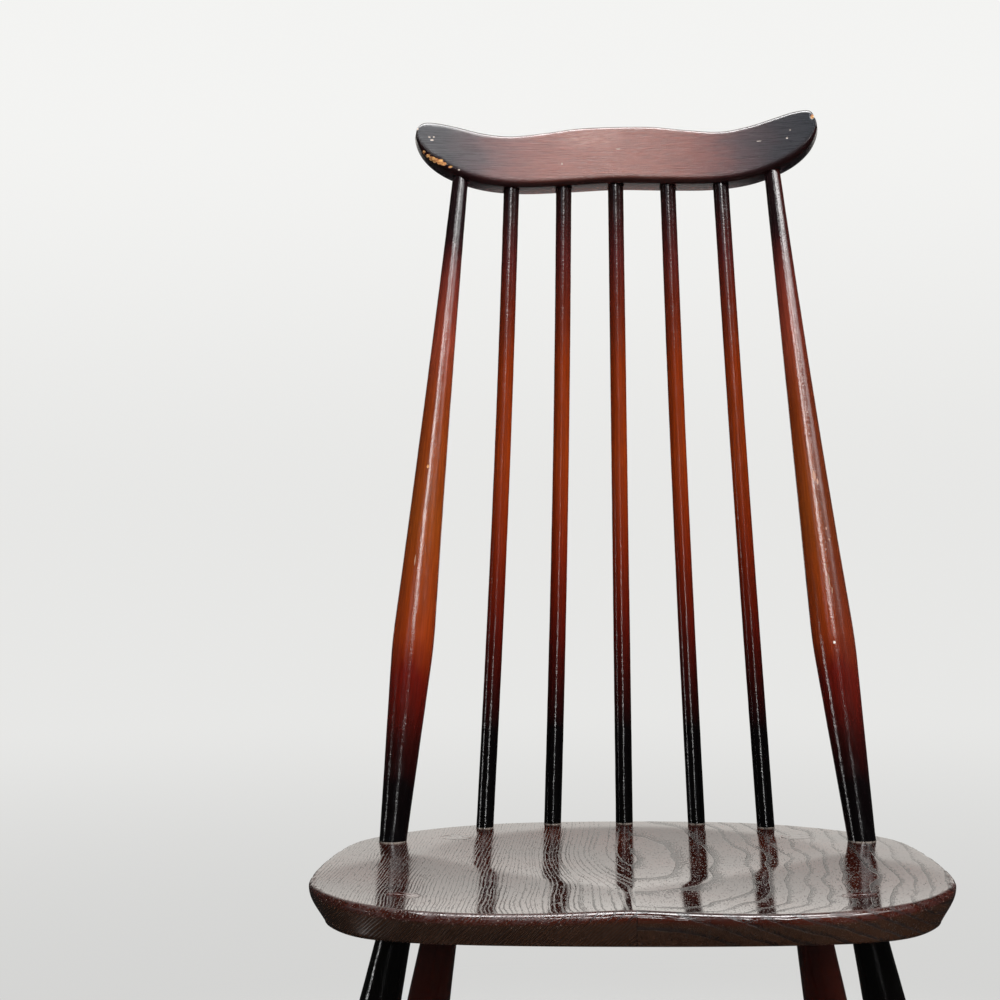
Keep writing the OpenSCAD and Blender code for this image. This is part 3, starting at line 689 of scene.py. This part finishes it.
TURNED_STOPS = {0.0: "#030203", 0.075: "#060203", 0.15: "#2c0705", 0.24: "#560f07",
                0.31: "#7c2d0c", 0.5: "#7b370f", 0.68: "#742f10", 0.8: "#7c3322",
                0.9: "#5e241d", 0.97: "#251012", 1.0: "#1a0e10"}
SPINDLE_STOPS = {0.0: "#020202", 0.13: "#040203", 0.22: "#2a0503", 0.31: "#4a0c04",
                 0.42: "#681c06", 0.56: "#7a2b09", 0.7: "#722606", 0.8: "#5a1c0b",
                 0.88: "#451512", 0.96: "#26100f", 1.0: "#150b0b"}
LEG_STOPS = {0.0: "#020202", 0.2: "#030202", 0.33: "#2b0d08", 0.48: "#5a220f", 0.62: "#6a2c13",
             0.8: "#4a1a0f", 0.93: "#180a09", 1.0: "#0c0707"}
# The rear legs' stain is painted darker about the middle, as shade under the seat.
REAR_LEG_SHADED_STOPS = {0.0: "#0a0302", 0.12: "#120403", 0.3: "#2a0c07", 0.48: "#5a220f",
                  0.62: "#5e2812", 0.8: "#46190f", 0.93: "#180a09", 1.0: "#0c0707"}
# The crest's stain, from reddish in the middle to dark at the tips; the bluish tint of the outer stops is
# painted reflection.
CREST_STAIN_AND_SHEEN_STOPS = {0.0: "#7a3f30", 0.35: "#74382b", 0.52: "#602c27", 0.66: "#3c1e24", 0.82: "#1c151e",
               1.0: "#14161f"}    # from the middle outwards
WEDGE_STOPS = {0.0: "#6a3a20", 1.0: "#7a4526"}
STRETCHER_STOPS = {0.0: "#120708", 0.15: "#3a140c", 0.5: "#63290f", 0.85: "#3a140c",
                   1.0: "#120708"}

# ---- seat ----

RIM_STEP = 1.6
TOP_ROWS, UNDER_ROWS, ARRIS_ROWS, SIDE_ROWS = 100, 14, 12, 12
FRONT_WEAR, FRONT_REACH = 1.8, 45    # how much rounder the arris is at the front, and how far back
EDGE_WEAR, EDGE_WEAR_L = 0.35, 18    # unevenness of the arris, and its length along the edge
INSET_FRONT, INSET_DEPTH = 0.2, 0.3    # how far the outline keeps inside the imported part's
# How far the underside is set in at the front, and what is added elsewhere.
UNDERCUT_FRONT, UNDERCUT_REAR, UNDERCUT_SIDE, UNDERCUT_CORNER = 3.2, 0.8, 5.0, -4.6
OUTLINE_POINTS = 1500


def seat_outline():
    """The whole outline as a closed run of points, from the middle of the front edge to the right."""
    after = [-SEAT_HALF[14][0], SEAT_HALF[14][1]]
    half = on_curve(SEAT_HALF, after, np.linspace(0, 1, OUTLINE_POINTS))
    half = half * [SEAT_W / 2, SEAT_D - INSET_DEPTH] + [0, INSET_FRONT]
    return np.vstack([half, half[-2:0:-1] * [-1, 1]])


def rim_points(side):
    """Evenly spaced outline points of one board, from the seam's front end to its rear end."""
    outline = seat_outline()
    if side == LEFT:
        outline = outline[::-1]
    shifted = np.roll(outline, -1, 0)
    over = side * (outline[:, 0] - SEAM_X)
    over_next = side * (shifted[:, 0] - SEAM_X)
    start = np.where((over <= 0) & (over_next > 0))[0][0]
    run = np.roll(outline, -start - 1, 0)
    run = run[:np.where(side * (run[:, 0] - SEAM_X) <= 0)[0][0]]
    run = np.vstack([[SEAM_X, run[0][1]], run, [SEAM_X, run[-1][1]]])
    steps = np.r_[0, np.cumsum(np.linalg.norm(np.diff(run, axis=0), axis=1))]
    even = np.linspace(0, steps[-1], int(steps[-1] / RIM_STEP))
    return np.stack([np.interp(even, steps, run[:, i]) for i in (0, 1)], -1)


def undercut(rim):
    """How far the underside is set in from the outline: most at the sides, just behind the front
    corners, and least at the corners themselves."""
    x, y = np.abs(rim[:, 0]) / (SEAT_W / 2), rim[:, 1] / SEAT_D
    side = np.exp(-((y - 0.25) / 0.07)**2) * unit(x * 10 - 8.5)
    corner = np.exp(-((x - 0.78) / 0.17)**2 - ((y - 0.07) / 0.09)**2)
    rear = unit(y * 4)
    return UNDERCUT_FRONT + UNDERCUT_REAR * rear + UNDERCUT_SIDE * side + UNDERCUT_CORNER * corner


def seat_board(name, side):
    rim = rim_points(side)
    n = len(rim)
    middle = np.array([SEAM_X, SEAT_D / 2])
    tangent = np.gradient(rim, axis=0)
    inward = np.stack([-tangent[:, 1], tangent[:, 0]], -1) * side
    inward /= np.linalg.norm(inward, axis=1)[:, None]
    inward[0], inward[-1] = (0, 1), (0, -1)
    cut = undercut(rim)
    wear = EDGE_WEAR * smooth_noise(np.zeros(n), np.arange(n) * RIM_STEP / EDGE_WEAR_L, 11 + side)
    arris = SEAT_ARRIS + FRONT_WEAR * np.exp(-(rim[:, 1] / FRONT_REACH)**2)
    rows, edges, flanks = [], [], []

    def add(plan, z, edge, flank=0):
        rows.append(np.column_stack([plan, z]))
        edges.append(np.full(n, float(edge)))
        flanks.append(np.full(n, float(flank)))

    inner = rim + inward * arris[:, None]
    for share in np.linspace(0, 1, TOP_ROWS + 1)[1:]:
        plan = middle + (inner - middle) * share
        add(plan, -seat_depth(plan[:, 0], plan[:, 1]), max(0, share * 30 - 29))    # worn in the last 30th
    top = -seat_depth(rim[:, 0], rim[:, 1])
    for a in np.radians(np.linspace(90, 0, ARRIS_ROWS)[1:]):
        inset = arris * (1 - cos(a))
        nick = wear * sin(2 * a)
        plan = rim + inward * (inset + nick * (nick > 0))[:, None]
        add(plan, top - arris * (1 - sin(a)) - unit(nick), 1)
    straight = SEAT_T - arris - UNDER_R
    for u in np.linspace(0, 1, SIDE_ROWS)[1:]:
        plan = rim + inward * (cut * u**2)[:, None]
        add(plan, top * (1 - u) - arris - straight * u, max(0, 1 - 3 * u), min(1, 5 * u))
    for a in np.radians(np.linspace(0, 90, 5)[1:]):
        plan = rim + inward * (cut + UNDER_R * (1 - cos(a)))[:, None]
        add(plan, np.full(n, -SEAT_T + UNDER_R * (1 - sin(a))), 0, 1)
    outer = rim + inward * (cut + UNDER_R)[:, None]
    for share in np.linspace(1, 0, UNDER_ROWS + 1)[1:-1]:
        add(middle + (outer - middle) * share, np.full(n, -SEAT_T), 0, 1)
    m = len(rows)
    centre = [[*middle, -seat_depth(*middle)], [*middle, -SEAT_T]]
    local = np.vstack(rows + [centre])
    local[:, 0] = np.where(side * (local[:, 0] - SEAM_X) < 0, SEAM_X, local[:, 0])
    edge = np.concatenate(edges + [[0, 0]])
    flank = np.concatenate(flanks + [[0, 1]])
    faces = []
    for i in range(0, (m - 1) * n, n):
        for j in range(i, i + n - 1):
            faces.append((j, j + n, j + n + 1, j + 1))
    for j in range(n - 1):
        faces.append((m * n, j, j + 1))
        faces.append((m * n + 1, (m - 1) * n + j + 1, (m - 1) * n + j))
    down, back = range(n - 1, m * n, n), range((m - 1) * n, -1, -n)
    faces.append((m * n, *down, m * n + 1, *back))
    if side == LEFT:
        faces = [f[::-1] for f in faces]
    extra = {"edge": edge, "flank": flank}
    return make_piece(name, seat_point(*local.T), faces, local, extra, sharp=50)


# ---- crest rail ----

CREST_STATIONS = 560
CREST_WORN_R = 4.4    # the upper front arris is worn
CREST_REACH = 0.992    # how far along the outlines the outermost sections lie, with 1 at the tip
FRONT_POINTS, BACK_POINTS = 30, 12    # points of a section between its rounded corners
CREST_TOP_INSET = 0.1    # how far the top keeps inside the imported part's
CREST_FLARE = 3.6    # how much wider than the back the front face is at each tip
FLARE_FROM, FLARE_OVER = 138, 24    # where along the rail that starts, and how long it grows
FLARE_TOP, FLARE_TOP_OVER = 40, 9    # the height where it fades, and over how much
CHIP_DEPTH = 0.5
CHIP_REACH = 4    # the chips fade out this far behind the front face


def crest_corner(c, r, first):
    turn = np.radians(first + np.linspace(0, 90, 12))
    return np.array(c) + r * np.stack([np.cos(turn), np.sin(turn)], -1)


def chip_depth(x, h):
    """How far the chips are broken out of the front face's lower edge."""
    deep = 0
    for (cx, ch, _), (rx, rh, _) in CREST_CHIPS:
        near = ((x - cx) / rx)**2 + ((h - ch) / rh)**2
        deep = np.maximum(deep, CHIP_DEPTH * np.exp(-near**2))
    return deep


def crest_rail(name):
    stations = CREST_REACH * np.sin(np.linspace(-pi / 2, pi / 2, CREST_STATIONS))
    low = on_curve(CREST_LOWER, CREST_UPPER[LEFT][7], np.abs(stations))
    tops = {side: on_curve(CREST_UPPER[side], CREST_LOWER[7], np.abs(stations)) for side in CREST_UPPER}
    high = np.where(stations[:, None] < 0, tops[LEFT], tops[RIGHT])
    rows, local, edges, rims = [], [], [], []
    for s, a, b in zip(stations, low, high):
        a = np.array([np.sign(s) * a[0] * CREST_W / 2, a[1]])
        b = np.array([np.sign(s) * b[0] * CREST_W / 2, b[1] - CREST_TOP_INSET])
        l, t = span(a, b), crest_thickness(a[0])
        r, q = min(CREST_TOP_R, 0.45 * l), min(CREST_LOW_R, 0.5 * l)
        o = min(CREST_WORN_R, 0.45 * l)
        section = np.vstack([
            crest_corner([q, q], q, 180),
            np.column_stack([np.linspace(q, l - o, FRONT_POINTS + 2)[1:-1], np.zeros(FRONT_POINTS)]),
            crest_corner([l - o, o], o, 270),
            crest_corner([l - r, t - r], r, 0),
            np.column_stack([np.linspace(l - r, r, BACK_POINTS + 2)[1:-1], np.full(BACK_POINTS, t)]),
            crest_corner([r, t - r], r, 90)])
        plan = a + (b - a) * (section[:, :1] / max(l, 1e-6))
        front = unit(1 - section[:, 1] / CHIP_REACH)
        flare = CREST_FLARE * unit((np.abs(plan[:, 0]) - FLARE_FROM) / FLARE_OVER)**1.5
        flare = flare * (1 - 0.75 * unit((plan[:, 1] - FLARE_TOP) / FLARE_TOP_OVER))
        plan[:, 0] += np.sign(s) * flare * unit(1 - section[:, 1] / t)
        deep = chip_depth(plan[:, 0], plan[:, 1]) * front
        rows.append(crest_point(plan[:, 0], plan[:, 1], section[:, 1] + deep))
        local.append(np.column_stack([plan, section[:, 1]]))
        edges.append(unit(1.35 - section[:, 0] / (1.1 * q)) * (section[:, 1] < t / 2))
        over = section[:, 0] - (l - 1.1 * r)
        rims.append(unit(over / r))
    around = len(rows[0])
    points = np.vstack(rows + [[rows[0].mean(0)], [rows[-1].mean(0)]])
    points[:, 1] = np.minimum(points[:, 1], cad_hi.y / MM)
    coords = np.vstack(local + [[local[0].mean(0)], [local[-1].mean(0)]])
    extra = {"edge": np.concatenate(edges + [[0, 0]]), "rim": np.concatenate(rims + [[0, 0]])}
    faces = [f[::-1] for f in tube_faces(len(rows), around)]
    return make_piece(name, points, faces, coords, extra, sharp=40)


# ---- places of the turned pieces ----

def leg_axis(side, which):
    """The ends of a leg's axis: in the seat's top plane, and on the floor."""
    (x, y), (sideways, forward) = LEG_PLACES[which]
    top = seat_point(side * x, y)
    foot = top + np.array([side * top[2] * tan(radians(sideways)),
                           top[2] * tan(radians(forward)), -top[2]])
    return top, foot


def leg_profile(l):
    tenon_l = SEAT_T + STRAIGHT
    up = (LEG_KNEE_D - LEG_TENON_D) / 2 / (LEG_KNEE_AT - tenon_l)
    down = (LEG_FOOT_D - LEG_KNEE_D) / 2 / (l - LEG_KNEE_AT)
    knee = np.array([LEG_KNEE_AT, LEG_KNEE_D / 2])
    return [(-30, LEG_TENON_D / 2), (tenon_l, LEG_TENON_D / 2),
            *bend(knee - KNEE_ROUND * np.array([1, up]), knee, knee + KNEE_ROUND * np.array([1, down])),
            (l + BEYOND, LEG_FOOT_D / 2 + down * BEYOND)]


def leg_radius(s, l):
    return LEG_KNEE_D / 2 + (LEG_FOOT_D - LEG_KNEE_D) / 2 * max(s - LEG_KNEE_AT, 0) / (l - LEG_KNEE_AT)


def leg_joint(side, which):
    """Where the side stretcher's axis meets a leg's axis, and how far from it the stretcher ends."""
    top, foot = leg_axis(side, which)
    at = at_height(top, foot, STRETCHER_H if which == "front" else STRETCHER_H - STRETCHER_DROP)
    return at, leg_radius(span(at, top), span(top, foot)) - LEG_SOCKET


def side_middle(side):
    return (leg_joint(side, "front")[0] + leg_joint(side, "rear")[0]) / 2


def stretcher_profile(l, end_d, tenon_l):
    end, mid = end_d / 2, STRETCHER_MID_D / 2
    return [(0, end), *bend((tenon_l, end), (l * 0.32, mid), (l / 2, mid), 16),
            *bend((l / 2, mid), (l * 0.68, mid), (l - tenon_l, end), 16)[1:], (l, end)]


def post_axis(side):
    """A post's axis: in the seat's top plane, at the crest rail's lower edge, and its upper end."""
    low = seat_point(side * POST_SEAT[0], POST_SEAT[1])
    high = crest_point(side * POST_CREST[0], POST_CREST[1], crest_thickness(POST_CREST[0]) / 2)
    return low, high, at_height(low, high, CREST_Z + CREST_SOCKET)


def post_profile(l, top_straight):
    up = (POST_KNEE_D - POST_FOOT_D) / 2 / (POST_KNEE_AT - STRAIGHT)
    down = (POST_TOP_D - POST_KNEE_D) / 2 / (l - top_straight - POST_KNEE_AT)
    knee = np.array([POST_KNEE_AT, POST_KNEE_D / 2])
    knee_end = knee + KNEE_ROUND * np.array([1, down])
    neck = np.array([l - top_straight, POST_TOP_D / 2])
    return [(-50, POST_FOOT_D / 2), (STRAIGHT, POST_FOOT_D / 2),
            *bend(knee - KNEE_ROUND * np.array([1, up]), knee, knee_end),
            *bend(knee_end, (knee_end + neck) / 2 - [0, POST_HOLLOW], neck, 14)[1:],
            (l + BEYOND, POST_TOP_D / 2)]


def spindle_axis(i):
    """The same for a spindle. Spindles count from -2 to 2, from left to right."""
    x, y = SPINDLE_SEAT[abs(i)]
    crest_x = SPINDLE_CREST_X[abs(i)]
    low = seat_point(np.sign(i) * x, y)
    high = crest_point(np.sign(i) * crest_x, 0, crest_thickness(crest_x) / 2)
    return low, high, at_height(low, high, CREST_Z + CREST_SOCKET)


def wedge_slot(x, y, z, down):
    """A cutter for the slot of a wedge that is driven from height z in the seat, down 1 or -1."""
    half, tip = WEDGE_T / 2 + WEDGE_GAP, WEDGE_TIP_T / 2 + WEDGE_GAP
    over = 8
    wide = half + (half - tip) / WEDGE_L * over
    section = [(-tip, -WEDGE_L - END_GAP), (tip, -WEDGE_L - END_GAP), (wide, over), (-wide, over)]
    points = [seat_point(x + end * LEG_TENON_D, y + a, z + b * down)
              for end in (-1, 1) for a, b in section]
    faces = [(3, 2, 1, 0), (4, 5, 6, 7), (0, 1, 5, 4), (1, 2, 6, 5), (2, 3, 7, 6), (3, 0, 4, 7)]
    if down < 0:
        faces = [f[::-1] for f in faces]
    return make_piece("slot", points, faces, np.zeros((8, 3)))


# ---- building ----

SIDES = {LEFT: "left", RIGHT: "right"}
SPINDLES = range(-2, 3)
wedge_nodes = []
BOWS = {-2: 2.0, -1: 1.8, 0: 0.0, 1: -1.2, 2: -0.8}    # how far a spindle bends to the right
POST_BOWS = {LEFT: 0.0, RIGHT: -1.6}
LEG_BOW = -1.0

spindle_stain = turned_finish("spindle_stain", SPINDLE_STOPS, 540.0, dusty=True)
leg_stains_and_shade = {"front": turned_finish("front_leg_stain", LEG_STOPS, 440.0, end_tone="#44170f"),
              "rear": turned_finish("rear_leg_stain_and_shade", REAR_LEG_SHADED_STOPS, 440.0, end_tone="#2c130c")}
stretcher_stain = turned_finish("stretcher_stain", STRETCHER_STOPS, 330.0)
wedge_stain = turned_finish("wedge_stain", WEDGE_STOPS, 20.0)


def seat_cutters():
    """The holes for legs, posts and spindles, through or into the seat."""
    holes = []
    for side in SIDES:
        holes += [(*leg_axis(side, which), -BEYOND, 2 * SEAT_T, LEG_TENON_D) for which in LEG_PLACES]
        holes.append((*post_axis(side)[:2], -2 * SEAT_T, BEYOND, POST_FOOT_D))
    holes += [(*spindle_axis(i)[:2], -SPINDLE_SOCKET, BEYOND, SPINDLE_FOOT_D) for i in SPINDLES]
    return [drill(towards(a, b, start), towards(a, b, stop), tenon_d)
            for a, b, start, stop, tenon_d in holes]


def crest_cutters():
    """The blind sockets in the crest rail's underside."""
    ends = [(post_axis(side), POST_TOP_D) for side in SIDES]
    ends += [(spindle_axis(i), SPINDLE_TOP_D) for i in SPINDLES]
    return [drill(towards(end, low, 60), towards(end, low, -END_GAP), diameter)
            for (low, _, end), diameter in ends]


def side_tenon(side, which, deeper):
    """A cutter for a side stretcher's socket in a leg."""
    at, stop = leg_joint(side, which)
    other = leg_joint(side, "rear" if which == "front" else "front")[0]
    return drill(towards(at, other, stop - deeper), towards(at, other, 50), STRETCHER_END_D)


def cross_end(side, deeper=0.0):
    middle = side_middle(side)
    return towards(middle, side_middle(-side), STRETCHER_MID_D / 2 - SIDE_SOCKET - deeper)


for side, name in SIDES.items():
    board = seat_board(f"{name}_board", side)
    carve(board, seat_cutters())
    finish_piece(board, f"seat_{name}_board", seat_finish(f"{name}_board_elm", side))

    low, high, end = post_axis(side)
    start = towards(low, high, -SEAT_T - 2)
    begin = span(start, low)
    profile = [(s + begin, r) for s, r in post_profile(span(low, end),
                                                       span(high, end) + STRAIGHT)]
    post = turned_piece(f"{name}_post", start, end, profile, 21 + side, low_cut=past_seat_under,
                        bow=(POST_BOWS[side], 0, 0), origin=begin)
    under = at_height(low, high, low[2] - SEAT_T)
    carve(post, [wedge_slot(*seat_coords(under)[:2], -SEAT_T, -1)])
    finish_piece(post, f"{name}_back_post",
                 turned_finish(f"{name}_post_stain", TURNED_STOPS, 520.0, POST_MARKS[side], dusty=True,
                               worn_side=0.6 if side == RIGHT else 0.0))

    for which in LEG_PLACES:
        top, foot = leg_axis(side, which)
        leg = turned_piece(f"{which}_{name}_turned_leg", top, foot, leg_profile(span(top, foot)),
                           31 + side, low_cut=past_tenon_top, high_cut=past_floor, bow=(LEG_BOW, 0, 0),
                           edge=0.05)
        x, y = LEG_PLACES[which][0]
        slot = wedge_slot(side * x, y, -float(seat_depth(side * x, y)), 1)
        carve(leg, [slot, side_tenon(side, which, END_GAP)])
        finish_piece(leg, f"{which}_{name}_leg", leg_stains_and_shade[which])
        wedge_nodes.append(f"{which}_{name}_wedge")

    front, front_stop = leg_joint(side, "front")
    rear, rear_stop = leg_joint(side, "rear")
    start, end = towards(front, rear, front_stop), towards(rear, front, rear_stop)
    profile = stretcher_profile(span(start, end), STRETCHER_END_D, LEG_SOCKET + STRAIGHT)
    stretcher = turned_piece(f"{name}_turned_stretcher", start, end, profile, 51 + side)
    cross = drill(cross_end(side, END_GAP), side_middle(-side), CROSS_TENON_D)
    carve(stretcher, [cross])
    finish_piece(stretcher, f"{name}_side_stretcher", stretcher_stain)
    wedge_nodes.append(f"{name}_post_wedge")

start, end = cross_end(LEFT), cross_end(RIGHT)
profile = stretcher_profile(span(start, end), CROSS_TENON_D, SIDE_SOCKET + STRAIGHT)
finish_piece(turned_piece("turned_cross_stretcher", start, end, profile, 61), "cross_stretcher",
             stretcher_stain)

for i in SPINDLES:
    low, high, end = spindle_axis(i)
    start = towards(low, high, END_GAP - SPINDLE_SOCKET)
    begin = span(start, low)
    l = span(start, end)
    top_straight = span(high, end) + STRAIGHT
    profile = [(0, SPINDLE_FOOT_D / 2), (SPINDLE_SOCKET + STRAIGHT, SPINDLE_FOOT_D / 2),
               (l - top_straight, SPINDLE_TOP_D / 2), (l, SPINDLE_TOP_D / 2)]
    rod = turned_piece(f"back_spindle_{i + 3}", start, end, profile, 41 + i, bow=(BOWS[i], 0, 0),
                       origin=begin)
    finish_piece(rod, f"spindle_{i + 3}", spindle_stain)

crest = crest_rail("bowed_crest")
carve(crest, crest_cutters())
finish_piece(crest, "crest_rail", crest_finish("crest_stain"))

for node in wedge_nodes:
    wedge = bpy.data.objects[node]
    wedge.data.materials.clear()
    wedge.data.materials.append(wedge_stain)

# ---- stage ----

# Brightness of the background: high up, at the horizon, on the floor behind the chair, and as
# gloss sees it behind and in front of the chair.
HIGH, HORIZON, FLOOR, GLOSS_BEHIND, GLOSS_FRONT = 0.90, 0.80, 0.66, 1.0, 0.025
AMBIENT = 0.25    # how bright the world is to rays that are neither the camera's nor glossy
WHITE = (1, 1, 0.985, 1)
LAMP_DISTANCE = 9.0
FLOOR_R, FLOOR_SIDES = 14, 96


def stage_material():
    """Pale floor: lit near the chair, so that it holds the shadow, and plain farther away."""
    f = Finish("pale_floor")
    for key, value in (("Base Color", (0.8, 0.8, 0.79, 1)), ("Roughness", 0.9),
                       ("Specular IOR Level", 0.0)):
        f.shader.inputs[key].default_value = value
    position = f.node("NewGeometry", {}).outputs["Position"]
    away = f.length(position)
    x, y, _ = f.parts(position)
    path = f.node("LightPath", {}).outputs
    glossy = path["Is Glossy Ray"]
    plain = f.ease(away, 1.0, 4.5, FLOOR, HORIZON)
    gloss = f.ease(f.math("ABSOLUTE", x), 0.3, 0.7, GLOSS_BEHIND, GLOSS_FRONT)
    gloss = f.most(f.times(gloss, f.ease(y, 1.5, 2.6)), GLOSS_FRONT)
    strength = f.add(f.times(plain, f.less(1.0, glossy)), f.times(gloss, glossy))
    plain = f.node("Emission", {"Color": WHITE, "Strength": strength}).outputs[0]
    share = f.most(f.times(path["Is Camera Ray"], f.ease(away, 0.5, 1.3)), glossy)
    both = f.node("MixShader", {0: share, 1: f.shader.outputs[0], 2: plain})
    f.tree.links.new(both.outputs[0], f.tree.nodes["Material Output"].inputs["Surface"])
    return f.material


def make_floor():
    mesh = bpy.data.meshes.new("floor")
    rim = [(FLOOR_R * cos(a), FLOOR_R * sin(a), 0) for a in circle(FLOOR_SIDES)]
    mesh.from_pydata(rim, [], [tuple(range(FLOOR_SIDES))])
    mesh.materials.append(stage_material())
    placed("floor", mesh)


def make_world():
    """White to the camera. Gloss sees it pale behind the chair and dark at the sides."""
    world = bpy.data.worlds.new("studio")
    bpy.context.scene.world = world
    world.use_nodes = True
    w = Nodes(world.node_tree)
    w.tree.nodes.clear()
    path = w.node("LightPath", {}).outputs
    x, y, z = w.parts(w.node("TexCoord", {}).outputs["Generated"])
    nearby = w.ease(w.math("ABSOLUTE", x), 0.30, 0.46, GLOSS_BEHIND, GLOSS_FRONT)
    behind = w.most(w.times(w.ease(y, 0.3, 0.6), nearby), GLOSS_FRONT)
    sky = w.ease(z, -0.02, 0.22, HORIZON, HIGH)
    glossy = w.node("Mix", {"Factor": path["Is Glossy Ray"], "A": AMBIENT, "B": behind})
    seen = w.node("Mix", {"Factor": path["Is Camera Ray"], "A": glossy.outputs["Result"],
                                    "B": sky})
    tone = w.mix(path["Is Glossy Ray"], WHITE, (1, 0.965, 0.91, 1))
    light = w.node("Background", {"Color": tone, "Strength": seen.outputs["Result"]})
    w.node("OutputWorld", {"Surface": light.outputs[0]})


def lamp(name, azimuth, elevation, extent, radiance, tint=(1, 1, 1), in_gloss=True, lights_up=True):
    """A rectangle of light that faces the chair's middle. Azimuth from the front, elevation and
    extent, which is width and height, are in degrees as seen from there."""
    a, e = radians(azimuth), radians(elevation)
    aim = Vector((0, 0, 0.75))
    place = aim + LAMP_DISTANCE * Vector((sin(a) * cos(e), -cos(a) * cos(e), sin(e)))
    size = [2 * LAMP_DISTANCE * tan(radians(degrees / 2)) for degrees in extent]
    data = bpy.data.lights.new(name, "AREA")
    data.shape = "RECTANGLE"
    data.size, data.size_y = size
    data.energy = radiance * pi * size[0] * size[1]
    data.color = tint
    made = placed(name, data)
    made.location = place
    made.rotation_euler = (aim - place).to_track_quat("-Z", "Y").to_euler()
    made.visible_camera = False
    made.visible_glossy = in_gloss
    made.visible_diffuse = lights_up


def make_camera():
    """At the photo's viewing angle: level with the middle of the back, a little left of the middle."""
    data = bpy.data.cameras.new("camera")
    data.lens, data.sensor_width = 65.83, 36.0
    camera = placed("camera", data)
    yaw, roll = radians(3.16), radians(-0.67)
    forward = Vector((-sin(yaw), cos(yaw), 0))
    level = Vector((cos(yaw), sin(yaw), 0))
    upright = level.cross(forward)
    right = cos(roll) * level + sin(roll) * upright
    up = cos(roll) * upright - sin(roll) * level
    turn = Matrix((right, up, -forward)).transposed().to_4x4()
    place = Vector((-0.0158, cad_lo.y - 1.1067, 0.6743))
    camera.matrix_world = Matrix.Translation(place) @ turn
    bpy.context.scene.camera = camera


make_floor()
make_world()
lamp("window", -2, 43, (14, 10), 17)
lamp("window_foot", 2, 35, (11, 6), 6.5)
lamp("side_window", 45, 51, (36, 10), 19)
lamp("side_window_foot", 56, 41, (16, 8), 2.5)
lamp("far_window", 72, 41, (22, 20), 4)
lamp("ceiling", 0, 90, (44, 22), 22, lights_up=False)
lamp("low_slit", 3, 15.5, (2.8, 6), 36)
lamp("left_sky", -30, 33.5, (14, 4), 2.6, (0.7, 0.85, 1.0))
lamp("left_pane", -80, 6, (5, 8), 14)
lamp("soft_fill", 58, 35, (38, 38), 2.1, in_gloss=False)
make_camera()
bpy.context.scene.view_settings.view_transform = "Standard"
